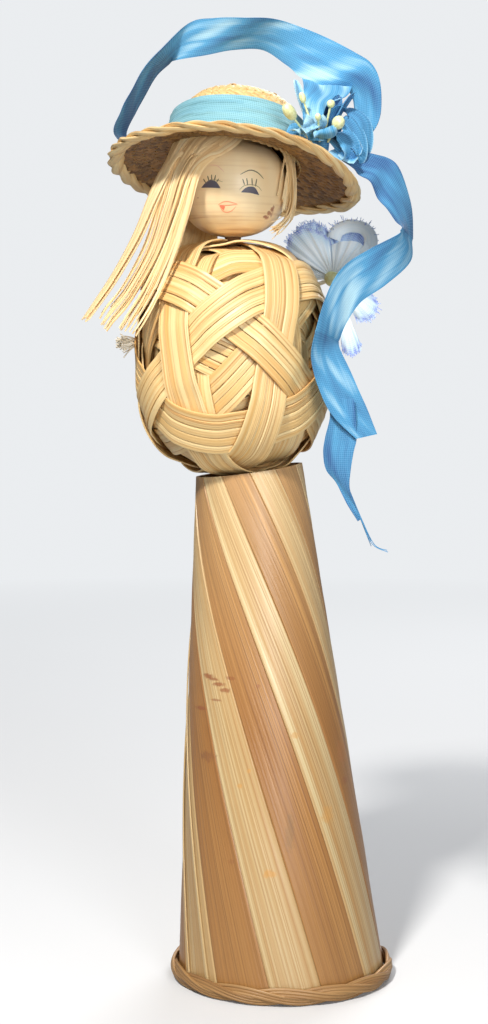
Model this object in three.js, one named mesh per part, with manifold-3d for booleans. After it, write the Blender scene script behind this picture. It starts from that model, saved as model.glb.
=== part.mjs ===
// A free-standing craft doll of split bamboo: a twisted two-tone strip skirt, a plaited ball for
// the bodice, a turned wooden bead for the head, straw hair and a straw hat dressed with ribbon.
// Millimetres, +Z up. The doll faces -Y, with her right arm side towards -X.
// Pieces are placed round the middle of the skirt's foot, and the whole doll is then moved so
// that the origin lies under the middle of her outline, on the surface that she stands on.

import * as THREE from "three";
import { mergeVertices } from "three/addons/utils/BufferGeometryUtils.js";
import Module from "manifold-3d";

const wasm = await Module();
wasm.setup();

// Gap left between pieces that touch
const fitGap = 0.3;

// Skirt: strips laid as straight lines on an unrolled cone, so that they twist as they climb
const skirtFootRadius = 24.7;
const skirtTopRadius = 12.35;
const skirtHeight = 123;
const skirtFoot = 0.5;
const skirtLean = 0.0633; // sideways step for each unit of height, towards -X
const stripThickness = 0.7;
const stripPairs = 6;
const brownStripShare = 0.52; // of a pair of strips
const firstStripStart = -37; // degrees from the front, at the foot
const stripFootSlant = 11; // degrees between a strip and the cone's own straight line, at the foot
const stripSteps = 10;
const backingThickness = 0.6;
const backingSag = 0.8; // room for the flat facets of the strips

// Hem: a flat cane hoop outside the foot and one inside it
const hemHeight = 4.3;
const hemThickness = 1.5;
const hemInnerThickness = 1.2;

// Plug in the skirt, below the ball, that holds the neck dowel
const plugBelowBall = 10;
const plugHeight = 6;
const dowelRadius = 1.9;
const neckX = -11.6;

// Bodice: two courses of six plaited bands on an egg-shaped ball
const ballCentreHeight = 147;
const ballStretch = 1.196; // height over width
const outerCourseRadius = 21.8;
const outerCourseLift = 0.78; // from the middle of the course to where a band passes over
const outerBandShare = 0.3486; // of the course's radius
const outerBandThickness = 0.7;
const outerCourseTurn = { side: -4, up: -10, spin: 54 }; // degrees, of one five-sided gap
const courseGap = 0.38; // between the two courses
const innerCourseLift = 1;
const innerBandShare = 0.3353; // of the course's outer surface
const innerBandThickness = 0.6;
const innerCourseTurn = { side: 0, up: 25, spin: 6 };
const bandSteps = 50;

// Head: a turned bead on the dowel
const beadRadius = 12.6;
const beadHalfHeight = 11.6;
const beadSquareness = 2.3;
const boreGap = 0.25;
const boreAboveMiddle = 4;

// Hat, tilted back and to the side round the middle of the head
const hatTiltBack = 14.5;
const hatTiltSide = 8;
const hatSeat = 6.5; // from the middle of the head to the brim, along the hat's axis
const crownRadius = 15.1;
const crownTopRadius = 14.2;
const crownHeight = 16.6;
const crownShoulder = 9.5;
const strawThickness = 1.2;
const brimRadius = 26.9;
const brimDroop = 2.6;
const brimWave = 0.9;
const edgeCoilRadius = 1.2;
const ribbonThickness = 0.5;
const ribbonWidth = 9.5;
const turnSteps = 36;

// Hair
const wigThickness = 0.75;
const wigLowerEdge = 1.5; // above the middle of the head, along the hat's axis
const lockThickness = 1.5;

const radians = THREE.MathUtils.degToRad;
const vector = (x, y, z) => new THREE.Vector3(x, y, z);

const finishes = {
  creamStrip: { color: 0xe3cf9c, roughness: 0.42, metalness: 0 },
  brownStrip: { color: 0xb98752, roughness: 0.42, metalness: 0 },
  bamboo: { color: 0xdcb675, roughness: 0.45, metalness: 0 },
  cane: { color: 0xb78f55, roughness: 0.5, metalness: 0 },
  backing: { color: 0xc9b48a, roughness: 0.9, metalness: 0 },
  turnedWood: { color: 0xe2bf92, roughness: 0.4, metalness: 0 },
  dowelWood: { color: 0xd2ae78, roughness: 0.6, metalness: 0 },
  straw: { color: 0xd8bb7c, roughness: 0.6, metalness: 0 },
  hair: { color: 0xdfba7e, roughness: 0.5, metalness: 0 },
  blueRibbon: { color: 0x4a93c8, roughness: 0.45, metalness: 0 },
  bandRibbon: { color: 0x93c5cf, roughness: 0.5, metalness: 0 },
  satin: { color: 0xc3d6ef, roughness: 0.3, metalness: 0 },
  bud: { color: 0xe9e3a6, roughness: 0.5, metalness: 0 },
  string: { color: 0xd9cdb6, roughness: 0.9, metalness: 0 },
};

// Merge shared corners, drop collapsed triangles and turn the faces outwards
function closed(geometry) {
  geometry.deleteAttribute("normal");
  geometry.deleteAttribute("uv");
  const merged = mergeVertices(geometry, 1e-4);
  const place = merged.getAttribute("position");
  const corner = (i) => new THREE.Vector3().fromBufferAttribute(place, i);
  const faces = [];
  let volume = 0;
  for (let i = 0; i < merged.index.count; i += 3) {
    const [a, b, c] = [0, 1, 2].map((k) => merged.index.getX(i + k));
    if (a === b || b === c || a === c) {
      continue;
    }
    faces.push([a, b, c]);
    volume += corner(a).dot(corner(b).cross(corner(c)));
  }
  merged.setIndex(faces.flatMap(([a, b, c]) => (volume < 0 ? [a, c, b] : [a, b, c])));
  return merged;
}

// A skin over a row of rings. An open row is closed at its ends, across from edge to edge
function loft(rings, joined = false) {
  const count = rings[0].length;
  const corners = rings.flat().flatMap((p) => [p.x, p.y, p.z]);
  const faces = [];
  const last = joined ? rings.length : rings.length - 1;
  for (let i = 0; i < last; i += 1) {
    const here = i * count;
    const next = ((i + 1) % rings.length) * count;
    for (let k = 0; k < count; k += 1) {
      const after = (k + 1) % count;
      faces.push(here + k, here + after, next + after, here + k, next + after, next + k);
    }
  }
  if (!joined) {
    const end = (rings.length - 1) * count;
    for (let k = 0; k < count / 2 - 1; k += 1) {
      const across = count - 1 - k;
      faces.push(k, across, across - 1, k, across - 1, k + 1);
      faces.push(end + k, end + across - 1, end + across, end + k, end + k + 1, end + across - 1);
    }
  }
  const geometry = new THREE.BufferGeometry();
  geometry.setAttribute("position", new THREE.Float32BufferAttribute(corners, 3));
  geometry.setIndex(faces);
  return closed(geometry);
}

// A turned shape about the Z axis from [radius, height] points
function turned(profile, segments = turnSteps, ring = false) {
  const points = profile.map(([r, z]) => new THREE.Vector2(r, z));
  if (ring) {
    points.push(points[0].clone());
  }
  return closed(new THREE.LatheGeometry(points, segments).rotateX(Math.PI / 2));
}

function manifoldOf(geometry) {
  const vertProperties = new Float32Array(geometry.getAttribute("position").array);
  const triVerts = new Uint32Array(geometry.index.array);
  return new wasm.Manifold(new wasm.Mesh({ numProp: 3, vertProperties, triVerts }));
}

function cut(geometry, ...tools) {
  let solid = manifoldOf(geometry);
  for (const tool of tools) {
    solid = solid.subtract(manifoldOf(tool));
  }
  const mesh = solid.getMesh();
  const result = new THREE.BufferGeometry();
  result.setAttribute("position", new THREE.Float32BufferAttribute(mesh.vertProperties, 3));
  result.setIndex(Array.from(mesh.triVerts));
  return closed(result);
}

const doll = new THREE.Group();

function add(name, geometry, finish) {
  const mesh = new THREE.Mesh(geometry, new THREE.MeshStandardMaterial(finishes[finish]));
  mesh.name = name;
  doll.add(mesh);
  return mesh;
}

// A flat strip along places [x, y, z], each with the direction across the strip and its width
function stripAlong(stations, thickness, steps) {
  const path = new THREE.CatmullRomCurve3(stations.map((s) => vector(...s.at)));
  const sides = new THREE.CatmullRomCurve3(stations.map((s) => vector(...s.across).normalize()));
  const widths = new THREE.SplineCurve(stations.map((s, i) => new THREE.Vector2(i, s.width)));
  const rings = [];
  for (let i = 0; i <= steps; i += 1) {
    const t = i / steps;
    const ahead = path.getTangent(t);
    const side = sides.getPoint(t);
    side.addScaledVector(ahead, -side.dot(ahead)).normalize();
    const up = new THREE.Vector3().crossVectors(ahead, side).multiplyScalar(thickness / 2);
    side.multiplyScalar(widths.getPoint(t).y / 2);
    const middle = path.getPoint(t);
    const at = (a, b) => middle.clone().addScaledVector(side, a).addScaledVector(up, b);
    rings.push([at(-1, 1), at(1, 1), at(1, -1), at(-1, -1)]);
  }
  return loft(rings);
}

// A round or flattened stalk along points, with a radius at each
function stalkAlong(points, radii, sides, steps, flatness = 1) {
  const path = new THREE.CatmullRomCurve3(points.map((p) => vector(...p)));
  const sizes = new THREE.SplineCurve(radii.map((r, i) => new THREE.Vector2(i, r)));
  const rings = [];
  for (let i = 0; i <= steps; i += 1) {
    const t = i / steps;
    const ahead = path.getTangent(t);
    const reference = Math.abs(ahead.y) > 0.8 ? vector(0, 0, 1) : vector(0, 1, 0);
    const side = new THREE.Vector3().crossVectors(ahead, reference).normalize();
    const up = new THREE.Vector3().crossVectors(side, ahead).multiplyScalar(flatness);
    const radius = sizes.getPoint(t).y;
    const middle = path.getPoint(t);
    rings.push(Array.from({ length: sides }, (_, k) => {
      const angle = ((k + 0.5) / sides) * 2 * Math.PI;
      return middle.clone()
        .addScaledVector(side, radius * Math.cos(angle))
        .addScaledVector(up, radius * Math.sin(angle));
    }));
  }
  return loft(rings);
}

// Skirt
const skirtRadiusAt = (z) =>
  skirtFootRadius - ((skirtFootRadius - skirtTopRadius) * z) / skirtHeight;
const coneSlope = (skirtFootRadius - skirtTopRadius) / Math.hypot(
  skirtHeight, skirtFootRadius - skirtTopRadius);
const stripReach = (skirtFootRadius / coneSlope) * Math.sin(radians(stripFootSlant));

// How far round a strip has turned back by the time the cone's radius is r
function stripTwist(r) {
  const unrolled = (radius) => Math.acos((stripReach * coneSlope) / radius);
  return (unrolled(skirtFootRadius) - unrolled(r)) / coneSlope;
}

const outerBandWidth = outerBandShare * outerCourseRadius;
const ballOuterRadius = outerCourseRadius + outerCourseLift + outerBandThickness / 2;
const ballReach = Math.hypot(ballOuterRadius, outerBandWidth / 2);

// The ball's underside, at a distance from its axis
function ballUnderside(distance) {
  const share = Math.min(distance / (ballReach + fitGap), 0.99);
  const depth = (ballReach + fitGap) * ballStretch * Math.sqrt(1 - share * share);
  return ballCentreHeight - depth;
}

const backingTop = ballUnderside(0) - fitGap;
const plugTop = ballUnderside(0) - plugBelowBall;
const plugFoot = plugTop - plugHeight;

function skirtPlace(angle, radius, z) {
  return vector(radius * Math.sin(angle) - skirtLean * z, -radius * Math.cos(angle), z);
}

// The skirt's mouth is cut to the ball that sits in it
function skirtMouth(angle) {
  let z = skirtHeight;
  for (let i = 0; i < 5; i += 1) {
    const edge = skirtPlace(angle, skirtRadiusAt(z) - stripThickness, z);
    z = ballUnderside(Math.hypot(edge.x - neckX, edge.y)) - fitGap;
  }
  return z;
}

function skirtStrip(start, end) {
  const rings = [];
  const twistTop = stripTwist(skirtTopRadius);
  for (let i = 0; i <= stripSteps; i += 1) {
    const share = i / stripSteps;
    const twistHere = stripTwist(skirtRadiusAt(share * skirtHeight));
    const places = [0, 0.5, 1].map((across) => {
      const angle = start + across * (end - start);
      const z = skirtFoot + share * (skirtMouth(angle - twistTop) - skirtFoot);
      const radius = skirtRadiusAt(z);
      const trim = (0.5 - across) * (fitGap / radius);
      return { angle: angle + trim - twistHere, radius, z };
    });
    const skin = (depth) => places.map((p) => skirtPlace(p.angle, p.radius - depth, p.z));
    rings.push([...skin(0), ...skin(stripThickness).reverse()]);
  }
  return loft(rings);
}

function addSkirt() {
  const pair = (2 * Math.PI) / stripPairs;
  for (let i = 0; i < stripPairs; i += 1) {
    const start = radians(firstStripStart) + i * pair;
    const middle = start + pair * brownStripShare;
    add(`skirt_strip_brown_${i + 1}`, skirtStrip(start, middle), "brownStrip");
    add(`skirt_strip_cream_${i + 1}`, skirtStrip(middle, start + pair), "creamStrip");
  }
  const outer = (z) => skirtRadiusAt(z) - stripThickness - backingSag;
  const backing = turned([
    [outer(skirtFoot), skirtFoot],
    [outer(backingTop), backingTop],
    [outer(backingTop) - backingThickness, backingTop],
    [outer(skirtFoot) - backingThickness, skirtFoot],
  ], 32, true);
  add("skirt_backing", leaned(backing), "backing");

  const hoop = (inside, outside) => turned([
    [inside, 0],
    [outside, 0],
    [outside + 0.15, hemHeight / 2],
    [outside, hemHeight],
    [inside, hemHeight],
  ], 36, true);
  const outsideHem = skirtFootRadius + fitGap;
  add("hem_hoop_outer", hoop(outsideHem, outsideHem + hemThickness), "cane");
  const insideHem = outer(hemHeight) - backingThickness - fitGap;
  add("hem_hoop_inner", leaned(hoop(insideHem - hemInnerThickness, insideHem - 0.15)), "cane");

  const plugRadius = (z) => outer(z) - backingThickness - fitGap;
  const plug = leaned(turned([
    [0, plugFoot],
    [plugRadius(plugFoot), plugFoot],
    [plugRadius(plugTop), plugTop],
    [0, plugTop],
  ], 32));
  add("skirt_plug", cut(plug, dowelShape(dowelRadius + fitGap, plugFoot - 1, plugTop + 1)), "dowelWood");
}

function leaned(geometry) {
  const place = geometry.getAttribute("position");
  for (let i = 0; i < place.count; i += 1) {
    place.setX(i, place.getX(i) - skirtLean * place.getZ(i));
  }
  return geometry;
}

// Neck
const beadMiddle = ballCentreHeight + ballReach * ballStretch + fitGap + beadHalfHeight;
const boreTop = beadMiddle + boreAboveMiddle;

function dowelShape(radius, foot, top) {
  return turned([[0, foot], [radius, foot], [radius, top], [0, top]], 16).translate(neckX, 0, 0);
}

// Bodice
// The six axes of a plait with twelve five-sided gaps, one of them facing the given way
function plaitAxes({ side, up, spin }) {
  const [a, e] = [radians(side), radians(up)];
  const facing = vector(Math.sin(a) * Math.cos(e), -Math.cos(a) * Math.cos(e), Math.sin(e));
  const right = vector(Math.cos(a), Math.sin(a), 0);
  const above = new THREE.Vector3().crossVectors(right, facing);
  const spread = Math.atan(2);
  const axes = [facing];
  for (let i = 0; i < 5; i += 1) {
    const turn = radians(spin + 72 * i);
    axes.push(facing.clone().multiplyScalar(Math.cos(spread))
      .addScaledVector(right, Math.sin(spread) * Math.cos(turn))
      .addScaledVector(above, Math.sin(spread) * Math.sin(turn)));
  }
  return axes;
}

// At the place where two bands cross, the band on top is the one that reaches the next
// five-sided gap in less than a quarter turn to the left
function passesOver(axis, place, axes) {
  const tangent = new THREE.Vector3().crossVectors(axis, place);
  const gaps = axes.flatMap((n) => [n, n.clone().negate()]);
  gaps.sort((p, q) => q.dot(place) - p.dot(place));
  const towards = gaps[0].clone().addScaledVector(place, -gaps[0].dot(place));
  const leftward = new THREE.Vector3().crossVectors(tangent, towards).dot(place);
  return leftward * tangent.dot(towards) > 0;
}

function plaitBand(axis, axes, course) {
  const other = axes.find((n) => n !== axis);
  const crossing = new THREE.Vector3().crossVectors(axis, other).normalize();
  const along = new THREE.Vector3().crossVectors(axis, crossing);
  const phase = passesOver(axis, crossing, axes) ? 0 : Math.PI;
  const rings = [];
  for (let i = 0; i < bandSteps; i += 1) {
    const angle = (i / bandSteps) * 2 * Math.PI;
    const out = crossing.clone().multiplyScalar(Math.cos(angle))
      .addScaledVector(along, Math.sin(angle));
    const wave = THREE.MathUtils.clamp(3.3 * Math.cos(5 * angle + phase), -1, 1);
    const radius = course.radius + course.lift * wave;
    const at = (edge, skin) => out.clone().multiplyScalar(radius + (skin * course.thickness) / 2)
      .addScaledVector(axis, (edge * course.width) / 2);
    rings.push([at(-1, 1), at(1, 1), at(1, -1), at(-1, -1)]);
  }
  return loft(rings, true)
    .scale(1, 1, ballStretch)
    .translate(neckX, 0, ballCentreHeight);
}

function addBodice() {
  const innerReach = outerCourseRadius - outerCourseLift - outerBandThickness / 2 - courseGap;
  const innerBandWidth = innerBandShare * innerReach;
  const innerSurface = Math.sqrt(innerReach ** 2 - (innerBandWidth / 2) ** 2);
  const innerCourseRadius = innerSurface - innerCourseLift - innerBandThickness / 2;
  const hole = () => dowelShape(
    dowelRadius + fitGap, plugFoot, beadMiddle);
  const outer = {
    radius: outerCourseRadius, lift: outerCourseLift,
    width: outerBandWidth, thickness: outerBandThickness,
  };
  const inner = {
    radius: innerCourseRadius, lift: innerCourseLift,
    width: innerBandWidth, thickness: innerBandThickness,
  };
  const outerAxes = plaitAxes(outerCourseTurn);
  const innerAxes = plaitAxes(innerCourseTurn);
  outerAxes.forEach((axis, i) => {
    add(`bodice_band_outer_${i + 1}`, cut(plaitBand(axis, outerAxes, outer), hole()), "bamboo");
  });
  innerAxes.forEach((axis, i) => {
    add(`bodice_band_inner_${i + 1}`, cut(plaitBand(axis, innerAxes, inner), hole()), "bamboo");
  });
  const tuftX = neckX - ballReach - fitGap;
  const tuftHeight = ballCentreHeight + 3.5;
  add("string_tuft", stalkAlong(
    [[0, 0.5, 0], [-1.4, 0.2, -0.2], [-2.8, -0.3, 0.3], [-4, -1, -0.1]]
      .map(([x, y, z]) => [tuftX + x, y, tuftHeight + z]),
    [0.9, 1.5, 1.3, 0.7], 6, 6), "string");
}

// Head
function beadProfile(extra) {
  const points = [];
  const steps = 10;
  for (let i = 0; i <= steps; i += 1) {
    const angle = -Math.PI / 2 + (i / steps) * Math.PI;
    const power = 2 / beadSquareness;
    const r = Math.abs(Math.cos(angle)) ** power * (beadRadius + extra);
    const z = Math.sign(Math.sin(angle)) * Math.abs(Math.sin(angle)) ** power
      * (beadHalfHeight + extra);
    points.push([i === 0 || i === steps ? 0 : r, z]);
  }
  return points;
}

const headCentre = vector(neckX, 0, beadMiddle);

// A place beside the head, from [degrees round from the front, distance off the bead, height]
function besideHead([degrees, standOff, z]) {
  const [angle, radius] = [radians(degrees), beadRadius + standOff];
  return vector(radius * Math.sin(angle), -radius * Math.cos(angle), z).add(headCentre).toArray();
}

function addHead() {
  const bead = turned(beadProfile(0)).translate(headCentre.x, 0, headCentre.z);
  const bore = dowelShape(dowelRadius + boreGap, beadMiddle - beadHalfHeight - 1, boreTop);
  add("head_bead", cut(bead, bore), "turnedWood");
}

// Hat, in its own upright frame round the middle of the head, then tilted
const hatPose = new THREE.Matrix4().compose(
  headCentre,
  new THREE.Quaternion().setFromEuler(
    new THREE.Euler(-radians(hatTiltBack), radians(hatTiltSide), 0, "YXZ")),
  vector(1, 1, 1));

// The crown's outer radius at a height over the seat, from the brim to the shoulder
const crownSlope = (crownRadius - crownTopRadius) / (crownShoulder - 1);
const crownAt = (h) => crownRadius - crownSlope * (h - 1);

function brimWaved(geometry) {
  const place = geometry.getAttribute("position");
  for (let i = 0; i < place.count; i += 1) {
    const [x, y] = [place.getX(i), place.getY(i)];
    const share = Math.max(0, (Math.hypot(x, y) - crownRadius) / (brimRadius - crownRadius));
    const angle = Math.atan2(x, -y);
    const wave = Math.cos(2 * angle + 0.5) + 0.5 * Math.cos(3 * angle - 1.2);
    place.setZ(i, place.getZ(i) + brimWave * share * wave);
  }
  return geometry;
}

function addHat() {
  const seat = hatSeat;
  const inner = crownRadius - strawThickness;
  const half = strawThickness / 2;
  const hat = turned([
    [0, seat + crownHeight],
    [6, seat + crownHeight - 0.5],
    [9.5, seat + crownHeight - 1.6],
    [crownTopRadius - 1.8, seat + (crownShoulder + crownHeight) / 2],
    [crownTopRadius, seat + crownShoulder],
    [crownRadius, seat + 1],
    [crownRadius + 1.2, seat + half],
    [brimRadius, seat - brimDroop + half],
    [brimRadius, seat - brimDroop - half],
    [crownRadius, seat - half],
    [inner, seat],
    [crownTopRadius - strawThickness, seat + crownShoulder - 0.4],
    [crownTopRadius - 3, seat + (crownShoulder + crownHeight) / 2 - 0.8],
    [8.6, seat + crownHeight - 2.7],
    [0, seat + crownHeight - strawThickness],
  ]);
  add("straw_hat", brimWaved(hat).applyMatrix4(hatPose), "straw");

  const coilMiddle = brimRadius + fitGap + edgeCoilRadius;
  const coilHeight = seat - brimDroop * (coilMiddle / brimRadius);
  const coil = turned(Array.from({ length: 6 }, (_, k) => {
    const angle = (k / 6) * 2 * Math.PI + Math.PI / 6;
    return [
      coilMiddle + edgeCoilRadius * Math.cos(angle),
      coilHeight + edgeCoilRadius * Math.sin(angle),
    ];
  }), turnSteps, true);
  add("hat_edge_coil", brimWaved(coil).applyMatrix4(hatPose), "straw");

  const bandFoot = 1.2;
  const bandTop = bandFoot + ribbonWidth - 0.5;
  const band = turned([
    [crownAt(bandFoot) + fitGap, seat + bandFoot],
    [crownAt(bandFoot) + fitGap + ribbonThickness, seat + bandFoot],
    [crownAt(bandTop) + fitGap + ribbonThickness, seat + bandTop],
    [crownAt(bandTop) + fitGap, seat + bandTop],
  ], turnSteps, true);
  add("hat_ribbon_band", band.applyMatrix4(hatPose), "bandRibbon");
}

// Hair: a wig bunched in the crown, and the locks that hang from it
function addHair() {
  const wigRadius = beadRadius + fitGap + wigThickness;
  const inCrown = (h) => crownAt(h) - strawThickness - fitGap;
  const wig = turned([
    [0, wigLowerEdge],
    [wigRadius, wigLowerEdge],
    [Math.min(wigRadius, inCrown(1)), hatSeat],
    [inCrown(4) - 0.1, hatSeat + 4],
    [inCrown(7.5) - 2.5, hatSeat + 7.5],
    [0, hatSeat + 9],
  ]).applyMatrix4(hatPose);
  const beadRoom = turned(beadProfile(fitGap)).translate(headCentre.x, 0, headCentre.z);
  add("hair_wig", cut(wig, beadRoom), "hair");

  add("hair_lock_outer", stalkAlong(
    [
      [-65.2, 1.72, 7.3], [-63.1, 5.11, 2.1], [-66.5, 7.46, -3.7],
      [-72.3, 10.39, -11.8], [-77.5, 15.16, -20.9], [-81.3, 20.48, -28.9],
    ].map(besideHead),
    [2, 2, 2.2, 1.9, 1.6, 1.1], 6, 11, lockThickness / 4), "hair");
  add("hair_lock_middle", stalkAlong(
    [
      [-50, 1.24, 7.3], [-49.3, 4.28, 2.3], [-53.6, 6.28, -5.7],
      [-60.3, 8.59, -15.2], [-67.2, 13.22, -24.9], [-71.3, 17.06, -30.3],
    ].map(besideHead),
    [1.9, 2, 2.2, 1.8, 1.6, 1.1], 6, 11, lockThickness / 4), "hair");
  add("hair_lock_inner", stalkAlong(
    [
      [-34.6, 0.77, 7.3], [-34.9, 3.49, 2.3], [-39.6, 5.3, -6.7],
      [-45.8, 7.48, -15.5], [-53.6, 11, -25.2], [-59.5, 15.01, -33.3],
    ].map(besideHead),
    [1.9, 2, 2.1, 1.8, 1.5, 1], 6, 11, lockThickness / 4), "hair");
  add("hair_lock_far_side", stalkAlong(
    [
      [62.1, 2.79, 2.3], [64.4, 3.59, -2.2], [57.1, 3.6, -7.7],
      [43.8, 1.26, -12.1],
    ].map(besideHead),
    [1, 1.1, 1, 0.6], 6, 8, 0.6), "hair");
}

// Flower of ribbon petals and stamens on the brim
const fromSeat = ([x, y, z]) => vector(x, y, z + hatSeat).add(headCentre);
const knotFromCrown = 6.33;
const knotAngle = radians(67.5);
const knotDistance = crownRadius + knotFromCrown;
const knotPlace = vector(
  neckX + knotDistance * Math.sin(knotAngle), -knotDistance * Math.cos(knotAngle), 0);
const knotFoot = headCentre.z + hatSeat - 0.6;
const knotHeight = 6.8;
const knotRadius = 2.3;

function addFlower() {
  const top = knotFoot + knotHeight;
  add("flower_knot", turned([
    [0, knotFoot],
    [knotRadius - 0.6, knotFoot],
    [knotRadius, knotFoot + knotHeight * 0.6],
    [knotRadius - 0.7, top],
    [0, top],
  ], 10).translate(knotPlace.x, knotPlace.y, 0), "blueRibbon");
  const reach = knotRadius + fitGap + 0.2;
  const petals = [
    { tip: [14.4, -6.5, 17.2], across: [0.6, 0.8, 0], width: 4.2 },
    { tip: [21.1, -3.5, 16.4], across: [1, 0.2, 0], width: 5.6 },
    { tip: [28, -5.5, 14.2], across: [0.3, 0.9, 0.2], width: 5 },
    { tip: [26.8, -11.5, -2.6], across: [0.6, 0, 0.8], width: 5 },
    { tip: [12.2, -11, 4.2], across: [0.2, 0.3, 0.9], width: 4.2 },
  ];
  petals.forEach((petal, i) => {
    const tip = fromSeat(petal.tip);
    const core = vector(knotPlace.x, knotPlace.y, knotFoot + knotHeight * 0.7);
    const way = tip.clone().sub(core);
    const flat = Math.hypot(way.x, way.y);
    const rootScale = reach / Math.max(flat, 1);
    const root = flat > 3
      ? vector(core.x + way.x * rootScale, core.y + way.y * rootScale, core.z + way.z * rootScale * 0.1)
      : vector(core.x, core.y, top + fitGap);
    const between = (t) => root.clone().lerp(tip, t);
    const bulge = vector(0, -0.8, 0.6);
    add(`flower_petal_${i + 1}`, stripAlong([
      { at: root.toArray(), across: petal.across, width: 1.3 },
      { at: between(0.35).add(bulge).toArray(), across: petal.across, width: petal.width * 0.75 },
      { at: between(0.72).add(bulge).toArray(), across: petal.across, width: petal.width },
      { at: tip.toArray(), across: petal.across, width: petal.width * 0.35 },
    ], ribbonThickness, 6), "blueRibbon");
  });
  const stamens = [
    { bud: [12.8, -16.5, 8.6], radius: 1.35, long: 2.3 },
    { bud: [15.8, -13.5, 12.2], radius: 0.75, long: 1.3 },
    { bud: [19.2, -15.8, 7.6], radius: 0.7, long: 0.9 },
    { bud: [22.2, -13.8, 10.8], radius: 0.9, long: 0.9 },
    { bud: [23.8, -15.2, 6.4], radius: 1.45, long: 1.6 },
  ];
  stamens.forEach((stamen, i) => {
    const bud = fromSeat(stamen.bud);
    const share = (i + 0.5) / stamens.length;
    const angle = radians(-150 + 120 * share);
    const foot = vector(
      knotPlace.x + (reach + 0.3) * Math.cos(angle),
      knotPlace.y + (reach + 0.3) * Math.sin(angle),
      knotFoot + knotHeight * (i % 2 ? 0.72 : 0.5));
    const way = bud.clone().sub(foot).normalize();
    const on = (d) => bud.clone().addScaledVector(way, d * stamen.long).toArray();
    add(`flower_stamen_${i + 1}`, stalkAlong(
      [foot.toArray(), on(-1.6), on(-1), on(-0.35), on(0.35), on(1)],
      [0.3, 0.3, 0.35, stamen.radius, stamen.radius, 0.25], 6, 10), "bud");
  });
}

// Long ribbon: an arch over the hat, and the tail that hangs past the bodice
function addRibbons() {
  const w = ribbonWidth;
  const hung = (stations) => stations.map((s) => ({ ...s, at: fromSeat(s.at).toArray() }));
  add("ribbon_arch", stripAlong(hung([
    { at: [-8.9, crownRadius + 0.9, 3.8], across: [-0.3, 0.2, 1], width: w * 0.7 },
    { at: [-18.4, 15, 4], across: [-0.2, 0.6, 0.8], width: w * 0.85 },
    { at: [-25.8, 10, 7.3], across: [0.25, 0.95, 0.1], width: w },
    { at: [-22.6, 6, 14.8], across: [0.22, 0.95, -0.1], width: w },
    { at: [-17.4, 3, 21.4], across: [0.3, 0.8, -0.45], width: w },
    { at: [-10.4, 1, 26.2], across: [0.25, 0.45, -0.85], width: w },
    { at: [-0.7, 0, 27.6], across: [0, 0.4, -0.9], width: w },
    { at: [8.6, 0, 26.8], across: [-0.15, 0.4, -0.9], width: w },
    { at: [16.6, -1, 23.6], across: [-0.35, 0.35, -0.85], width: w },
    { at: [23.6, -1.5, 19.2], across: [-0.6, 0.3, -0.7], width: w },
    { at: [28.6, -1.5, 13.3], across: [-0.85, 0.4, -0.3], width: w },
    { at: [31, -2, 7.3], across: [-0.7, 0.7, 0], width: w * 0.8 },
    { at: [29.4, -2.5, 2.4], across: [-0.2, 0.9, 0.2], width: w * 0.6 },
    { at: [24.2, -3.6, 0.7], across: [0, 1, 0.1], width: w * 0.4 },
  ]), ribbonThickness, 44), "blueRibbon");
  add("ribbon_tail", stripAlong(hung([
    { at: [24.5, -9.6, -0.6], across: [0.2, 0.2, 0.9], width: w * 0.35 },
    { at: [brimRadius + 1.7, -8.8, 0.8], across: [0.4, 0.1, 0.8], width: w * 0.7 },
    { at: [brimRadius + 6.1, -8, -2.6], across: [0.75, 0, 0.6], width: w },
    { at: [brimRadius + 8.7, -7.8, -9.6], across: [0.88, 0, 0.45], width: w },
    { at: [brimRadius + 9.3, -8.2, -17], across: [0.95, 0.1, -0.25], width: w },
    { at: [brimRadius + 5.9, -10, -24], across: [0.75, 0, -0.66], width: w },
    { at: [27.2, -13.6, -31.6], across: [0.7, 0, -0.7], width: w },
    { at: [22.8, -16.8, -39.2], across: [0.8, 0.1, -0.55], width: w },
    { at: [21, -18.2, -46.2], across: [0.95, 0.25, -0.1], width: w * 0.95 },
    { at: [22.4, -18.2, -52], across: [0.93, 0.2, 0.3], width: w * 0.95 },
    { at: [25.6, -17.4, -58.2], across: [0.85, 0.1, 0.5], width: w * 0.95 },
    { at: [28.8, -16.4, -64.4], across: [0.8, 0, 0.6], width: w * 0.7 },
  ]), ribbonThickness, 40), "blueRibbon");
  add("ribbon_strip", stripAlong(hung([
    { at: [20.4, -17.2, -52.2], across: [1, 0.3, 0], width: w * 0.5 },
    { at: [21.2, -16.6, -59.2], across: [1, 0.3, 0.1], width: w * 0.66 },
    { at: [22.6, -15.8, -66.2], across: [1, 0.2, 0.15], width: w * 0.55 },
    { at: [25, -15, -75.7], across: [1, 0.2, 0.2], width: w * 0.1 },
  ]), ribbonThickness, 12), "blueRibbon");
}

// Satin flower behind the shoulder, on a wire pushed into the plait
const satinStandOff = 2.39;
const satinAngle = radians(111.8);
const satinDistance = ballReach + satinStandOff;
const satinCentre = vector(
  neckX + satinDistance * Math.sin(satinAngle),
  -satinDistance * Math.cos(satinAngle),
  ballCentreHeight + 19);

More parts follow.
